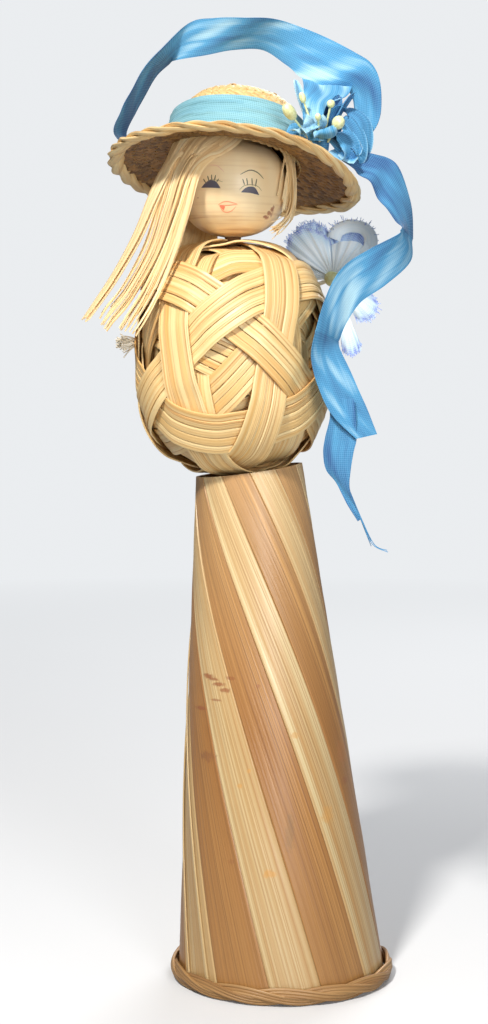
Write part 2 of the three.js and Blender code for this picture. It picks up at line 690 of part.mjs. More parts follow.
function addSatinFlower() {
  add("satin_flower_centre", stalkAlong([
    [satinCentre.x, satinCentre.y + 1.6, satinCentre.z],
    [satinCentre.x, satinCentre.y + 0.6, satinCentre.z],
    [satinCentre.x, satinCentre.y - 1.2, satinCentre.z],
  ], [1.3, 2, 1], 8, 4), "bud");
  const reach = 2 + fitGap + 0.2;
  const petals = [
    { angle: 118, long: 13.4, width: 10 },
    { angle: 58, long: 14.6, width: 10 },
    { angle: -8, long: 8.6, width: 6 },
    { angle: -46, long: 14.5, width: 7 },
    { angle: -88, long: 17.5, width: 6.4 },
  ];
  petals.forEach((petal, i) => {
    const angle = radians(petal.angle);
    const way = vector(Math.cos(angle), 0, Math.sin(angle));
    const across = [-way.z, 0.25, way.x];
    const layer = i % 2 ? 1.2 : 0;
    const at = (d, y) =>
      [satinCentre.x + way.x * d, satinCentre.y + y + layer, satinCentre.z + way.z * d];
    add(`satin_petal_${i + 1}`, stripAlong([
      { at: at(reach, 0.4), across, width: 1.9 },
      { at: at(petal.long * 0.45, 1.5), across, width: petal.width * 0.8 },
      { at: at(petal.long * 0.8, 1), across, width: petal.width },
      { at: at(petal.long, -0.4), across, width: petal.width * 0.5 },
    ], ribbonThickness, 6), "satin");
  });
  const [wireAngle, wireRise] = [radians(128.5), radians(36.3)];
  const wireEnd = vector(
    neckX + ballReach * Math.cos(wireRise) * Math.sin(wireAngle),
    -ballReach * Math.cos(wireRise) * Math.cos(wireAngle),
    ballCentreHeight + ballReach * Math.sin(wireRise) * ballStretch);
  const wireStart = [satinCentre.x, satinCentre.y + 1.6 + fitGap, satinCentre.z];
  add("satin_flower_wire", stalkAlong([
    wireStart,
    [satinCentre.x - 1, satinCentre.y + 3.2, satinCentre.z - 0.3],
    [wireEnd.x + 4, wireEnd.y + 1.8, wireEnd.z + 0.8],
    wireEnd.toArray(),
  ], [0.5, 0.5, 0.5, 0.5], 6, 8), "string");
}

addSkirt();
add("neck_dowel", dowelShape(dowelRadius, plugFoot, boreTop - fitGap), "dowelWood");
addBodice();
addSatinFlower();
addHead();
addHair();
addHat();
addFlower();
addRibbons();

// Move the doll so that the origin is under the middle of her outline
const outline = new THREE.Box3().setFromObject(doll);
const middle = outline.getCenter(vector(0, 0, 0));
const shift = vector(-middle.x, -middle.y, -outline.min.z);
doll.children.forEach((mesh) => mesh.geometry.translate(shift.x, shift.y, shift.z));

export default doll;
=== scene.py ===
# %% [markdown]
# # A doll of split bamboo, braided straw and ribbon
# This lesson dresses a doll whose plain solids are already built and fixed in place. Each piece
# of the doll is then made again as the maker made it, from splints, straws and cloth, and laid
# where its solid lies. First the solids are loaded. Nothing that follows may outgrow it.

# %% Load the plain solids
import math

import bpy
import numpy as np
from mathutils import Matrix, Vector


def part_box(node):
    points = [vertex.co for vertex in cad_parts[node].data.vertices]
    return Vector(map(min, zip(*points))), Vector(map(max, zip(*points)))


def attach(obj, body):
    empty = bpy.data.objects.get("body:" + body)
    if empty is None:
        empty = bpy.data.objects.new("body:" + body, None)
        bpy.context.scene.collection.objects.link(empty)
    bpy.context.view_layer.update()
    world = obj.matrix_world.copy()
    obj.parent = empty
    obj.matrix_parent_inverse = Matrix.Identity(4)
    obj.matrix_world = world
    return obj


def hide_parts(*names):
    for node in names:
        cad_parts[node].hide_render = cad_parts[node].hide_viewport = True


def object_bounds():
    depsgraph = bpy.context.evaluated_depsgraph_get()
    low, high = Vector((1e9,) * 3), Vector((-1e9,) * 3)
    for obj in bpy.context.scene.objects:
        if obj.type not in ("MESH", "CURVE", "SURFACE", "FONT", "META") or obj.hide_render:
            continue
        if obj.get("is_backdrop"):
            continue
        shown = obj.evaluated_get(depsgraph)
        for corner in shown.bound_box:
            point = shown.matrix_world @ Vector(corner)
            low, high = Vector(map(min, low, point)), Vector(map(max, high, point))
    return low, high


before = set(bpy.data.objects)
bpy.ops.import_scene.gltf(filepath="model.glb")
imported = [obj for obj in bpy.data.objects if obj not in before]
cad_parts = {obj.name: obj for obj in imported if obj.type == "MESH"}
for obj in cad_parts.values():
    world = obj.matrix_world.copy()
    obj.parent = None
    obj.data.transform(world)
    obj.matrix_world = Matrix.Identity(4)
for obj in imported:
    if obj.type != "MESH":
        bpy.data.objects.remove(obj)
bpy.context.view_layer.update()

MM = 0.001

# %% [markdown]
# ## Where things are
# A craft doll is small, so lengths here are in millimetres, and only the finished meshes are
# turned into metres. Two places carry all the others: the middle of the skirt's foot, found from
# the hem hoop, and the middle of the head, found from the bead.

# %% Find the foot and the head
def box_mm(node):
    low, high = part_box(node)
    return np.array(low) / MM, np.array(high) / MM


hem_low, hem_high = box_mm("hem_hoop_outer")
foot = np.array([(hem_low[0] + hem_high[0]) / 2, (hem_low[1] + hem_high[1]) / 2, 0.0])
bead_low, bead_high = box_mm("head_bead")
BEAD_RADIUS = (bead_high[0] - bead_low[0]) / 2
BEAD_HALF_HEIGHT = 11.6
head = np.array([
    (bead_low[0] + bead_high[0]) / 2,
    (bead_low[1] + bead_high[1]) / 2,
    bead_high[2] - BEAD_HALF_HEIGHT,
])
BALL_MIDDLE_HEIGHT = 147
ball = np.array([head[0], head[1], BALL_MIDDLE_HEIGHT])
print("foot", foot.round(2), "head", head.round(2), "bead radius", round(BEAD_RADIUS, 2))

# %% [markdown]
# ## Camera
# The photograph was taken from about 45 cm, a little below the doll's shoulders and tipped
# slightly down. A camera placed by those numbers repeats the photograph's perspective. The lens
# comes from the focal length in pixels of a picture that is 1024 pixels tall.

# %% Place the camera
PICTURE_HEIGHT = 1024
FOCAL_PIXELS = 1911
SENSOR_WIDTH = 36
CAMERA_FROM_FOOT = np.array([-9.0, -450.0, 143.0])
CAMERA_TIP_DOWN = 4.1

camera_data = bpy.data.cameras.new("camera")
camera_data.sensor_width = SENSOR_WIDTH
camera_data.lens = SENSOR_WIDTH * FOCAL_PIXELS / PICTURE_HEIGHT
camera_data.clip_start = 0.01
camera = bpy.data.objects.new("camera", camera_data)
camera.location = (foot + CAMERA_FROM_FOOT) * MM
camera.rotation_euler = (math.radians(90 - CAMERA_TIP_DOWN), 0, 0)
bpy.context.scene.collection.objects.link(camera)
bpy.context.scene.camera = camera
print("lens", round(camera_data.lens, 1), "mm")

# %% [markdown]
# ## Writing materials
# A material is a small graph of nodes, and so is the sky. A few helpers keep the graphs readable:
# methods that add one node each and fill its sockets with values or links, one function that
# makes a node group with named sockets, and one that makes a finish. So grain, stains and
# threads are made once and used by every finish that needs them.

# %% Helpers for node graphs
class Graph:
    """A node tree and short ways to add to it. An input takes a plain value or another socket."""

    def __init__(self, tree):
        self.tree = tree

    def join(self, value, socket):
        if isinstance(value, bpy.types.NodeSocket):
            self.tree.links.new(value, socket)
        else:
            socket.default_value = value

    def add(self, kind, inputs=None, **settings):
        node = self.tree.nodes.new(kind)
        for name, value in settings.items():
            setattr(node, name, value)
        for name, value in (inputs or {}).items():
            self.join(value, node.inputs[name])
        return node

    def sum(self, operation, first, second=0.0, third=0.0, clamp=False):
        return self.add("ShaderNodeMath", {0: first, 1: second, 2: third},
                        operation=operation, use_clamp=clamp).outputs[0]

    def times(self, first, second):
        return self.sum("MULTIPLY", first, second)

    def vector(self, operation, first, second=(0, 0, 0)):
        outputs = self.add("ShaderNodeVectorMath", {0: first, 1: second}, operation=operation).outputs
        return outputs["Value" if operation == "LENGTH" else "Vector"]

    def blend(self, share, first, second):
        return self.add("ShaderNodeMix", {0: share, 6: first, 7: second}, data_type="RGBA").outputs[2]

    def ramp(self, value, *stops):
        node = self.add("ShaderNodeValToRGB", {"Fac": value})
        elements = node.color_ramp.elements
        while len(elements) < len(stops):
            elements.new(0.5)
        for element, (place, colour) in zip(elements, stops):
            element.position = place
            element.color = colour
        return node.outputs["Color"]

    def span(self, value, low, high, out_low=0.0, out_high=1.0):
        return self.add("ShaderNodeMapRange", {
            "Value": value, "From Min": low, "From Max": high, "To Min": out_low, "To Max": out_high,
        }).outputs[0]

    def noise(self, vector, scale, detail=2.0, rough=0.5):
        return self.add("ShaderNodeTexNoise", {
            "Vector": vector, "Scale": scale, "Detail": detail, "Roughness": rough,
        }).outputs["Fac"]

    def apart(self, vector):
        return self.add("ShaderNodeSeparateXYZ", {0: vector}).outputs

    def object_place(self):
        return self.add("ShaderNodeTexCoord").outputs["Object"]

    def strip_place(self):
        return self.add("ShaderNodeUVMap", uv_map="Along").outputs[0]

    def carried(self, label):
        return self.add("ShaderNodeAttribute", attribute_name=label).outputs["Fac"]

    def group(self, name, inputs):
        return self.add("ShaderNodeGroup", inputs, node_tree=bpy.data.node_groups[name]).outputs


def new_group(name, inputs, outputs):
    tree = bpy.data.node_groups.new(name, "ShaderNodeTree")
    for label, kind, value in inputs:
        socket = tree.interface.new_socket(label, in_out="INPUT", socket_type="NodeSocket" + kind)
        socket.default_value = value
    for label, kind in outputs:
        tree.interface.new_socket(label, in_out="OUTPUT", socket_type="NodeSocket" + kind)
    graph = Graph(tree)
    print("group:", name)
    return graph, graph.add("NodeGroupInput").outputs, graph.add("NodeGroupOutput").inputs


def new_finish(name, **constants):
    """A material with one Principled shader, whose steady values are set on its own sockets."""
    finish = bpy.data.materials.new(name)
    finish.use_nodes = True
    finish.node_tree.nodes.clear()
    graph = Graph(finish.node_tree)
    steady = {label.replace("_", " "): value for label, value in constants.items()}
    shader = graph.add("ShaderNodeBsdfPrincipled", steady)
    graph.add("ShaderNodeOutputMaterial", {"Surface": shader.outputs[0]})
    print("finish:", name)
    return finish, graph, shader.inputs


def emboss(graph, shader, height, strength, depth):
    """Feed a height to the shader as a bump, with its depth in metres."""
    raised = graph.add("ShaderNodeBump", {"Strength": strength, "Distance": depth, "Height": height})
    graph.join(raised.outputs[0], shader["Normal"])


def tint(*screen):
    """A colour from its red, green and blue screen values, 0 to 255."""
    shares = [value / 255 for value in screen]
    return (*(x / 12.92 if x <= 0.04045 else ((x + 0.055) / 1.055) ** 2.4 for x in shares), 1)


# %% [markdown]
# ## Light and floor
# The photograph has one hard flash. Here a small lamp stands high on the left of the camera and
# gives crisp shadows. A broad weaker lamp on the right, one behind and an even pale sky fill
# them. Together they light a surface that faces them about as brightly as its colour is written.
# The backdrop is whitened only for what the camera sees, straight or through the sheer ribbon.

# %% Set up the studio
SKY_COLOUR = (0.93, 0.95, 1.0, 1)
SKY_STRENGTH = 0.25
BACKDROP_COLOUR = (0.83, 0.85, 0.87, 1)
DOLL_MIDDLE = Vector((0, 0, 0.12))
# Each lamp: name, place in metres, size, power, colour
LAMPS = [
    ("key", (-0.18, -0.444, 0.60), 0.075, 5.1, (1, 0.97, 0.93)),
    ("fill", (0.30, -0.90, 0.24), 0.35, 4.3, (0.95, 0.97, 1)),
    ("back", (0.25, 0.7, 0.6), 0.5, 4.0, (1, 1, 1)),
]
for name, place, size, power, colour in LAMPS:
    data = bpy.data.lights.new(name, "AREA")
    data.shape = "DISK"
    data.size = size
    data.energy = power
    data.color = colour
    lamp = bpy.data.objects.new(name, data)
    lamp.location = place
    lamp.rotation_euler = (Vector(place) - DOLL_MIDDLE).to_track_quat("Z", "Y").to_euler()
    bpy.context.scene.collection.objects.link(lamp)
    print("lamp:", name)

world = bpy.data.worlds.new("studio")
bpy.context.scene.world = world
world.use_nodes = True
world.node_tree.nodes.clear()
sky = Graph(world.node_tree)
seen = sky.add("ShaderNodeLightPath").outputs
in_view = sky.sum("MAXIMUM", seen["Is Camera Ray"], seen["Is Transmission Ray"])
plain = sky.add("ShaderNodeBackground", {"Color": SKY_COLOUR, "Strength": SKY_STRENGTH})
pale = sky.add("ShaderNodeBackground", {"Color": BACKDROP_COLOUR, "Strength": 1.0})
choice = sky.add("ShaderNodeMixShader", {0: in_view, 1: plain.outputs[0], 2: pale.outputs[0]})
sky.add("ShaderNodeOutputWorld", {"Surface": choice.outputs[0]})
bpy.context.scene.view_settings.view_transform = "Standard"

# %% [markdown]
# ## One way to build every strip
# Bamboo splints, straws, hair and ribbons are all long flat things. One function makes them: it
# takes a top surface and a bottom surface as two grids of points and closes them into a shell.
# The grid's own millimetres, across and along, are kept as a UV map, so that grain and threads
# can later run along each piece wherever it bends. Three numbers travel with the points: tone,
# which a finish turns into a darker or paler colour, seed, one random number for each strand, and
# under, which is 1 on the bottom.

# %% Shells from two grids
class Parts:
    """The shells that make up one piece. Chance gives each of them its own seed."""

    def __init__(self, chance=None):
        self.points, self.faces, self.uvs = [], [], []
        self.tones, self.seeds, self.unders = [], [], []
        self.count = 0
        self.chance = chance or np.random.default_rng(7)

    def add(self, points, faces, uvs, tones, under):
        self.points.append(points)
        self.faces.append(faces + self.count)
        self.uvs.append(uvs)
        self.tones.append(tones)
        self.seeds.append(np.full(len(points), self.chance.random()))
        self.unders.append(under)
        self.count += len(points)


def shell(parts, top, bottom, u, v, joined=False, tone=0.5, turned_v=0.0):
    """Close two grids into a shell. Joined makes its rows a ring, whose last v is turned_v further."""
    rows, columns = top.shape[:2]
    points = np.concatenate([top.reshape(-1, 3), bottom.reshape(-1, 3)])
    grid_u, grid_v = np.broadcast_to(u, (rows, columns)), np.broadcast_to(v, (rows, columns))
    if joined:
        grid_u = np.vstack([grid_u, grid_u[:1]])
        grid_v = np.vstack([grid_v, grid_v[:1] + turned_v])
    last = rows if joined else rows - 1
    k, m = np.arange(last), np.arange(columns - 1)
    i, j = (cells.ravel() for cells in np.meshgrid(k, m, indexing="ij"))
    layer = rows * columns
    skin = [(i, j), (i, j + 1), (i + 1, j + 1), (i + 1, j)]
    sides = [[(row, column, 0) for row, column in skin], [(row, column, 1) for row, column in skin[::-1]]]
    for column, order in ((0, 1), (columns - 1, -1)):
        c = np.full(last, column)
        sides.append([(k, c, 0), (k + 1, c, 0), (k + 1, c, 1), (k, c, 1)][::order])
    if not joined:
        for row, order in ((0, -1), (rows - 1, 1)):
            r = np.full(columns - 1, row)
            sides.append([(r, m, 0), (r, m + 1, 0), (r, m + 1, 1), (r, m, 1)][::order])

    def index(row, column, level):
        return (row % rows) * columns + column + level * layer

    def place_on_strip(row, column, level):
        return np.stack([grid_u[row, column], grid_v[row, column]], axis=-1)

    faces, uvs = (np.concatenate([np.stack([read(*corner) for corner in side], axis=1) for side in sides])
                  for read in (index, place_on_strip))
    a, b, c, d = (points[faces[:, n]] for n in range(4))
    volume = np.sum(a * np.cross(b, c)) + np.sum(a * np.cross(c, d))
    if volume < 0:
        faces, uvs = faces[:, ::-1], uvs[:, ::-1]
    under = np.concatenate([np.zeros(layer), np.ones(layer)])
    tones = np.broadcast_to(tone, (rows, columns)).ravel()
    parts.add(points, faces, uvs, np.tile(tones, 2), under)


# %% [markdown]
# Most pieces stand round an upright axis or are strands. So the next helpers give places round
# an axis, a smooth path through a few given points, and a flat or round strand that
# follows a path.

# %% Places, paths and strands
def unit(rows):
    return rows / np.maximum(np.linalg.norm(rows, axis=-1, keepdims=True), 1e-9)


def around(radius, angle, height):
    """A place by its distance from an upright axis, its angle from the front, and its height."""
    return np.stack(np.broadcast_arrays(radius * np.sin(angle), -radius * np.cos(angle), height), axis=-1)


def ring_angles(steps):
    return np.linspace(0, 2 * np.pi, steps, endpoint=False)


def smooth_through(rows, steps):
    """A smooth curve through given rows of numbers, as steps rows."""
    rows = np.asarray(rows, float)
    t = np.linspace(0, len(rows) - 1, steps)
    i = np.clip(t.astype(int), 0, len(rows) - 2)
    f = (t - i)[:, None]
    before, here = rows[np.maximum(i - 1, 0)], rows[i]
    after, beyond = rows[i + 1], rows[np.minimum(i + 2, len(rows) - 1)]
    return 0.5 * (2 * here + (after - before) * f + (2 * before - 5 * here + 4 * after - beyond) * f**2
                  + (3 * here - before - 3 * after + beyond) * f**3)


def lengths_along(path):
    steps = np.linalg.norm(np.diff(path, axis=0), axis=1)
    return np.concatenate([[0], np.cumsum(steps)])


def ahead_along(path, joined=False):
    """The direction of travel at each point of a path. A joined path is a ring."""
    if joined:
        return unit(np.roll(path, -1, axis=0) - np.roll(path, 1, axis=0))
    return unit(np.gradient(path, axis=0))


def strand(parts, path, facing, width, thickness, columns=5, dome=0.0, rounded=False,
           joined=False, tone=0.5, u_start=0.0, groove=0.45):
    """A flat or round strand along a path. Facing is the way that its flat side looks."""
    ahead = ahead_along(path, joined)
    side = unit(np.cross(ahead, facing))
    up = unit(np.cross(side, ahead))
    width = np.broadcast_to(width, len(path))[:, None, None]
    thickness = np.broadcast_to(thickness, len(path))[:, None, None]
    if rounded:
        across = -np.cos(np.linspace(0, np.pi, columns))
        rise = np.sqrt(np.maximum(1 - across**2, 0)) * 0.5
    else:
        across = np.sin(np.linspace(-1, 1, columns) * math.pi / 2)
        rise = (1 - groove * across**12) * 0.5
    middle = path[:, None, :] + side[:, None, :] * across[None, :, None] * width / 2
    bend = dome * (1 - across**2)[None, :, None]
    half = rise[None, :, None] * thickness
    top, bottom = (middle + up[:, None, :] * (bend + skin) for skin in (half, -half))
    along = lengths_along(path)[:, None]
    u = across[None, :] * width[:, :, 0] / 2 + u_start
    closing = float(np.linalg.norm(path[0] - path[-1]) + along[-1, 0]) if joined else 0.0
    shell(parts, top, bottom, u, along, joined, tone, closing)


# %% Turn the shells into a Blender piece
def make_piece(name, parts, finish, body, replaces=(), crease=50):
    """A piece from its shells. Edges sharper than the crease, in degrees, stay sharp."""
    points = np.concatenate(parts.points) * MM
    faces = np.concatenate(parts.faces)
    mesh = bpy.data.meshes.new(name)
    mesh.from_pydata(points.tolist(), [], faces.tolist())
    uvs = np.concatenate(parts.uvs).ravel().astype(np.float32)
    mesh.uv_layers.new(name="Along").data.foreach_set("uv", uvs)
    for label, rows in (("tone", parts.tones), ("seed", parts.seeds), ("under", parts.unders)):
        values = np.concatenate(rows).astype(np.float32)
        mesh.attributes.new(label, "FLOAT", "POINT").data.foreach_set("value", values)
    mesh.polygons.foreach_set("use_smooth", np.ones(len(faces), bool))
    mesh.set_sharp_from_angle(angle=math.radians(crease))
    mesh.validate()
    mesh.materials.append(finish)
    piece = bpy.data.objects.new(name, mesh)
    bpy.context.scene.collection.objects.link(piece)
    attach(piece, body)
    if replaces:
        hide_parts(*replaces)
    print(f"{name}: {len(points)} points, {len(faces)} faces")
    return piece


# %% [markdown]
# ## Grain along a strip
# Split bamboo and straw show fibres as fine parallel lines that run the strip's whole length. A
# noise texture squeezed across the strip and drawn out along it gives such lines. The group gives
# three things: fine fibre lines, broad bands of darker and paler wood, and slow mottling. Its
# input Place is the strip's own millimetres, and Seed shifts the pattern from strand to strand.

# %% Group: strip grain
SEED_SHIFT = 97.0
graph, given, result = new_group(
    "Strip Grain",
    [("Place", "Vector", (0, 0, 0)), ("Seed", "Float", 0.5), ("Fibre Width", "Float", 0.35),
     ("Band Width", "Float", 2.0), ("Drift", "Float", 0.02)],
    [("Fibres", "Float"), ("Bands", "Float"), ("Mottle", "Float")])
place = graph.apart(given["Place"])
shift = graph.times(given["Seed"], SEED_SHIFT)
along = graph.times(place[1], given["Drift"])
# Each layer: name, width of its marks, how often it changes along, detail, roughness, lowest, highest
for label, width, often, detail, rough, low, high in (
        ("Fibres", given["Fibre Width"], 1.0, 3.0, 0.6, 0.3, 0.7),
        ("Bands", given["Band Width"], 0.5, 2.0, 0.5, 0.32, 0.68),
        ("Mottle", 4.0, 3.0, 2.0, 0.5, 0.3, 0.7)):
    drawn_out = graph.add("ShaderNodeCombineXYZ", {
        0: graph.sum("DIVIDE", place[0], width), 1: graph.times(along, often), 2: shift})
    layer = graph.noise(drawn_out.outputs[0], 1.0, detail, rough)
    graph.join(graph.span(layer, low, high), result[label])

# %% [markdown]
# ## Stains
# Old varnish leaves brown spots. A spot is the neighbourhood of a place on the doll, with an edge
# that a noise texture makes ragged. Each use of the group names one place and its half sizes.

# %% Group: stain
graph, given, result = new_group(
    "Stain",
    [("Centre", "Vector", (0, 0, 0)), ("Size", "Vector", (2, 2, 2)), ("Ragged", "Float", 1.1)],
    [("Mask", "Float")])
in_mm = graph.vector("MULTIPLY", graph.object_place(), (1 / MM,) * 3)
away = graph.vector("DIVIDE", graph.vector("SUBTRACT", in_mm, given["Centre"]), given["Size"])
ragged = graph.times(graph.sum("SUBTRACT", graph.noise(in_mm, 0.9, 4.0, 0.7), 0.5), given["Ragged"])
edge = graph.sum("ADD", graph.vector("LENGTH", away), graph.times(ragged, 2.0))
graph.join(graph.span(edge, 1.1, 0.55), result["Mask"])

# %% [markdown]
# ## Threads
# Sheer ribbon is a plain weave of very fine threads, and satin is a close twill. Both are two
# crossed sets of waves over the cloth's own millimetres. The group gives a height for the bump
# and a cover value, which is low where light passes between the threads.

# %% Group: threads
graph, given, result = new_group(
    "Threads",
    [("Place", "Vector", (0, 0, 0)), ("Pitch", "Float", 0.3), ("Slant", "Float", 0.0)],
    [("Height", "Float"), ("Cover", "Float")])
place = graph.apart(given["Place"])
turn = graph.sum("DIVIDE", 2 * math.pi, given["Pitch"])
slanted = graph.sum("MULTIPLY_ADD", place[0], given["Slant"], place[1])
warp, weft = (graph.sum("SINE", graph.times(side, turn)) for side in (place[0], slanted))
graph.join(graph.span(graph.sum("ADD", warp, weft), -2, 2), result["Height"])
graph.join(graph.span(graph.sum("MAXIMUM", warp, weft), -0.6, 0.8), result["Cover"])

# %% [markdown]
# ## Finishes
# Every wooden strip uses the same recipe with its own colours: a pale ground, broad darker bands,
# fine fibre lines, and a little shift from strand to strand. The fibres also roughen the surface
# and feed a bump. Straw can also get a darker underside, which is painted shade, as under the brim.

# %% Recipe for bamboo and straw
LINE_STRENGTH = 0.85
MOTTLE_STRENGTH = 0.18
UNDERSIDE_SHADE_STRENGTH = 0.94
STRIP_RELIEF = 0.0002


def strip_finish(name, pale, deep, line, fibre, band, bump, tone_shift, drift=0.02, gloss=0.42,
                 coat=0.15, lines=(0.6, 0.92), under=None):
    """Pale, deep and line are screen colours. Lines says which fibres count as dark lines."""
    finish, graph, shader = new_finish(name, Coat_Weight=coat, Coat_Roughness=0.3, Specular_IOR_Level=0.45)
    pale, deep, line = (tint(*screen) for screen in (pale, deep, line))
    grain = graph.group("Strip Grain", {
        "Place": graph.strip_place(), "Seed": graph.carried("seed"),
        "Fibre Width": fibre, "Band Width": band, "Drift": drift})
    colour = graph.blend(grain["Bands"], pale, deep)
    colour = graph.blend(graph.times(graph.span(grain["Fibres"], *lines), LINE_STRENGTH), colour, line)
    colour = graph.blend(graph.times(graph.span(graph.carried("tone"), 0, 1), tone_shift), colour, deep)
    colour = graph.blend(graph.times(grain["Mottle"], MOTTLE_STRENGTH), colour, pale)
    # Painted shade: the bottom of each strand, where under is 1, is darkened towards the under colours.
    if under is not None:
        shaded = graph.blend(graph.span(grain["Mottle"], 0.2, 0.8), *(tint(*screen) for screen in under))
        colour = graph.blend(graph.times(graph.carried("under"), UNDERSIDE_SHADE_STRENGTH), colour, shaded)
    graph.join(colour, shader["Base Color"])
    graph.join(graph.span(grain["Fibres"], 0, 1, gloss - 0.08, gloss + 0.14), shader["Roughness"])
    emboss(graph, shader, grain["Fibres"], bump, STRIP_RELIEF)
    return finish, graph, shader, colour


bamboo, *_ = strip_finish(
    "bamboo", (250, 228, 172), (224, 174, 100), (182, 116, 52), fibre=0.36, band=1.1,
    bump=0.35, tone_shift=0.5, drift=0.012, coat=0.25, lines=(0.56, 0.86))
cane, *_ = strip_finish(
    "cane", (186, 146, 94), (152, 110, 64), (100, 62, 30), fibre=0.3, band=0.7,
    bump=0.35, tone_shift=0.8)
# The under colours of both straws are painted shade for the undersides of the hat and of its edge.
straw, *_ = strip_finish(
    "straw", (246, 222, 164), (212, 166, 98), (160, 108, 54), fibre=0.3, band=0.8,
    bump=0.4, tone_shift=0.7, drift=0.05, coat=0.0, under=((96, 62, 24), (168, 120, 62)))
pale_straw, *_ = strip_finish(
    "pale straw", (250, 230, 178), (222, 178, 110), (176, 122, 62), fibre=0.3, band=0.8,
    bump=0.4, tone_shift=0.6, drift=0.05, under=((200, 158, 98), (240, 210, 154)))
hair_finish, *_ = strip_finish(
    "hair", (254, 240, 200), (238, 198, 132), (196, 140, 76), fibre=0.4, band=0.8,
    bump=0.1, tone_shift=0.6, drift=0.006)

# %% [markdown]
# The skirt's strips share that recipe and add the stains. Their places were read off the
# photograph as an angle round the skirt and a height. Towards the top the colour is warmer and
# paler, partly the varnish and partly a painted highlight; near the foot it is painted shade.

# %% Cream and brown strips with stains
SKIRT_FOOT_RADIUS = 24.7
SKIRT_TOP_RADIUS = 12.35
SKIRT_HEIGHT = 123
SKIRT_LEAN = 0.0633


def skirt_radius(z):
    return SKIRT_FOOT_RADIUS - (SKIRT_FOOT_RADIUS - SKIRT_TOP_RADIUS) * z / SKIRT_HEIGHT


def leaning(places):
    """Places round an upright axis, moved to the skirt's own axis, which leans to the left."""
    return places + foot - SKIRT_LEAN * places[..., 2:] * [1, 0, 0]


RED_BROWN = tint(150, 88, 52)
ORANGE = tint(204, 150, 78)
GREY = tint(86, 82, 58)
WARM_TOP_AND_HIGHLIGHT = tint(240, 204, 150)
PAINTED_FOOT_SHADE = tint(160, 130, 86)
# Each stain: degrees from the front, height, half sizes in millimetres, colour, strength
STAINS = [
    (-47, 73.6, (1.6, 4, 0.6), RED_BROWN, 0.8), (-41, 73.0, (1.5, 4, 0.5), RED_BROWN, 0.75),
    (-36, 72.0, (1.6, 4, 0.6), RED_BROWN, 0.8), (-30, 70.8, (1.4, 4, 0.6), RED_BROWN, 0.75),
    (-26, 73.6, (1.2, 3, 0.5), RED_BROWN, 0.6),
    (-55, 65.8, (1.8, 3, 0.5), RED_BROWN, 0.8),
    (-39.6, 68.3, (1.6, 3, 0.3), RED_BROWN, 0.6),
    (-47, 55.0, (2.4, 3, 1.3), tint(140, 92, 54), 0.75),
    (-4.1, 72.1, (0.5, 2, 0.5), RED_BROWN, 0.6),
    (-13.5, 52.8, (0.6, 2, 0.6), ORANGE, 0.7),
    (-20.1, 49.2, (0.6, 2, 0.6), ORANGE, 0.7),
    (-3, 29.6, (1.7, 3, 1.0), ORANGE, 0.75),
    (11, 39, (1.2, 3, 4.5), GREY, 0.22),
    (39.4, 41.9, (1.8, 3, 2.2), ORANGE, 0.5),
    (65, 55, (2.0, 3, 3.2), tint(178, 116, 60), 0.6),
    (20.5, 60.8, (0.9, 3, 0.9), ORANGE, 0.55),
    (63.1, 48.6, (1.0, 3, 1.0), RED_BROWN, 0.5),
    (-26.9, 31.8, (0.9, 3, 0.6), tint(150, 98, 56), 0.6),
]


def add_stains_and_painted_light(graph, shader, colour):
    rise = graph.apart(graph.object_place())[2]
    # Warmer and paler towards the top: partly the varnish, partly a painted highlight.
    colour = graph.blend(graph.span(rise, 0.06, 0.12, 0, 0.3), colour, WARM_TOP_AND_HIGHLIGHT)
    # Darker near the foot: painted shade.
    colour = graph.blend(graph.span(rise, 0.0, 0.07, 0.25, 0), colour, PAINTED_FOOT_SHADE)
    for degrees, height, size, stain, strength in STAINS:
        centre = leaning(around(skirt_radius(height), math.radians(degrees), height))
        mask = graph.group("Stain", {"Centre": tuple(centre), "Size": size})["Mask"]
        colour = graph.blend(graph.times(mask, strength), colour, stain)
    graph.join(colour, shader["Base Color"])


cream, *drawn = strip_finish(
    "cream strip", (222, 204, 156), (184, 138, 80), (150, 96, 44), fibre=0.42, band=2.4,
    bump=0.35, tone_shift=0.85, drift=0.004, gloss=0.34, coat=0.35, lines=(0.54, 0.84))
add_stains_and_painted_light(*drawn)
brown, *drawn = strip_finish(
    "brown strip", (196, 142, 78), (148, 96, 46), (100, 58, 24), fibre=0.42, band=2.0,
    bump=0.35, tone_shift=0.7, drift=0.004, gloss=0.34, coat=0.35, lines=(0.54, 0.86))
add_stains_and_painted_light(*drawn)

# %% [markdown]
# ## Skirt
# On the real doll, flat bamboo strips are laid side by side on a paper cone and glued, and
# they turn round it as they climb. A straight strip on an unrolled cone stays straight, so its
# place follows from a little trigonometry. Each strip is a fine grid, because its surface is not
# flat: it carries the ridges of its fibres, and its edges are rounded.

# %% Twisted strips
FOOT_SLANT = math.radians(11)
STRIP_THICKNESS = 0.7
RIDGE_HEIGHT = 0.045
EDGE_FALL = 0.2
SEAM_GAP = 0.0012
SLIT_GAP = 0.04
STRIP_COLUMNS, STRIP_ROWS = 81, 130
STRIP_LENGTH = 122
SPLINTER_THICKNESS = 0.35
PAIRS = 6
BROWN_SHARE = 0.52
FIRST_STRIP = -37
BALL_REACH = 23.243
BALL_STRETCH = 1.196
BALL_POWER = 2.7
FIT_GAP = 0.3
SKIRT_START = 0.5
cone_slope = (SKIRT_FOOT_RADIUS - SKIRT_TOP_RADIUS) / math.hypot(
    SKIRT_HEIGHT, SKIRT_FOOT_RADIUS - SKIRT_TOP_RADIUS)
strip_reach = SKIRT_FOOT_RADIUS / cone_slope * math.sin(FOOT_SLANT)


def strip_twist(radius):
    unrolled = np.arccos(strip_reach * cone_slope / radius)
    return (math.acos(strip_reach * cone_slope / SKIRT_FOOT_RADIUS) - unrolled) / cone_slope


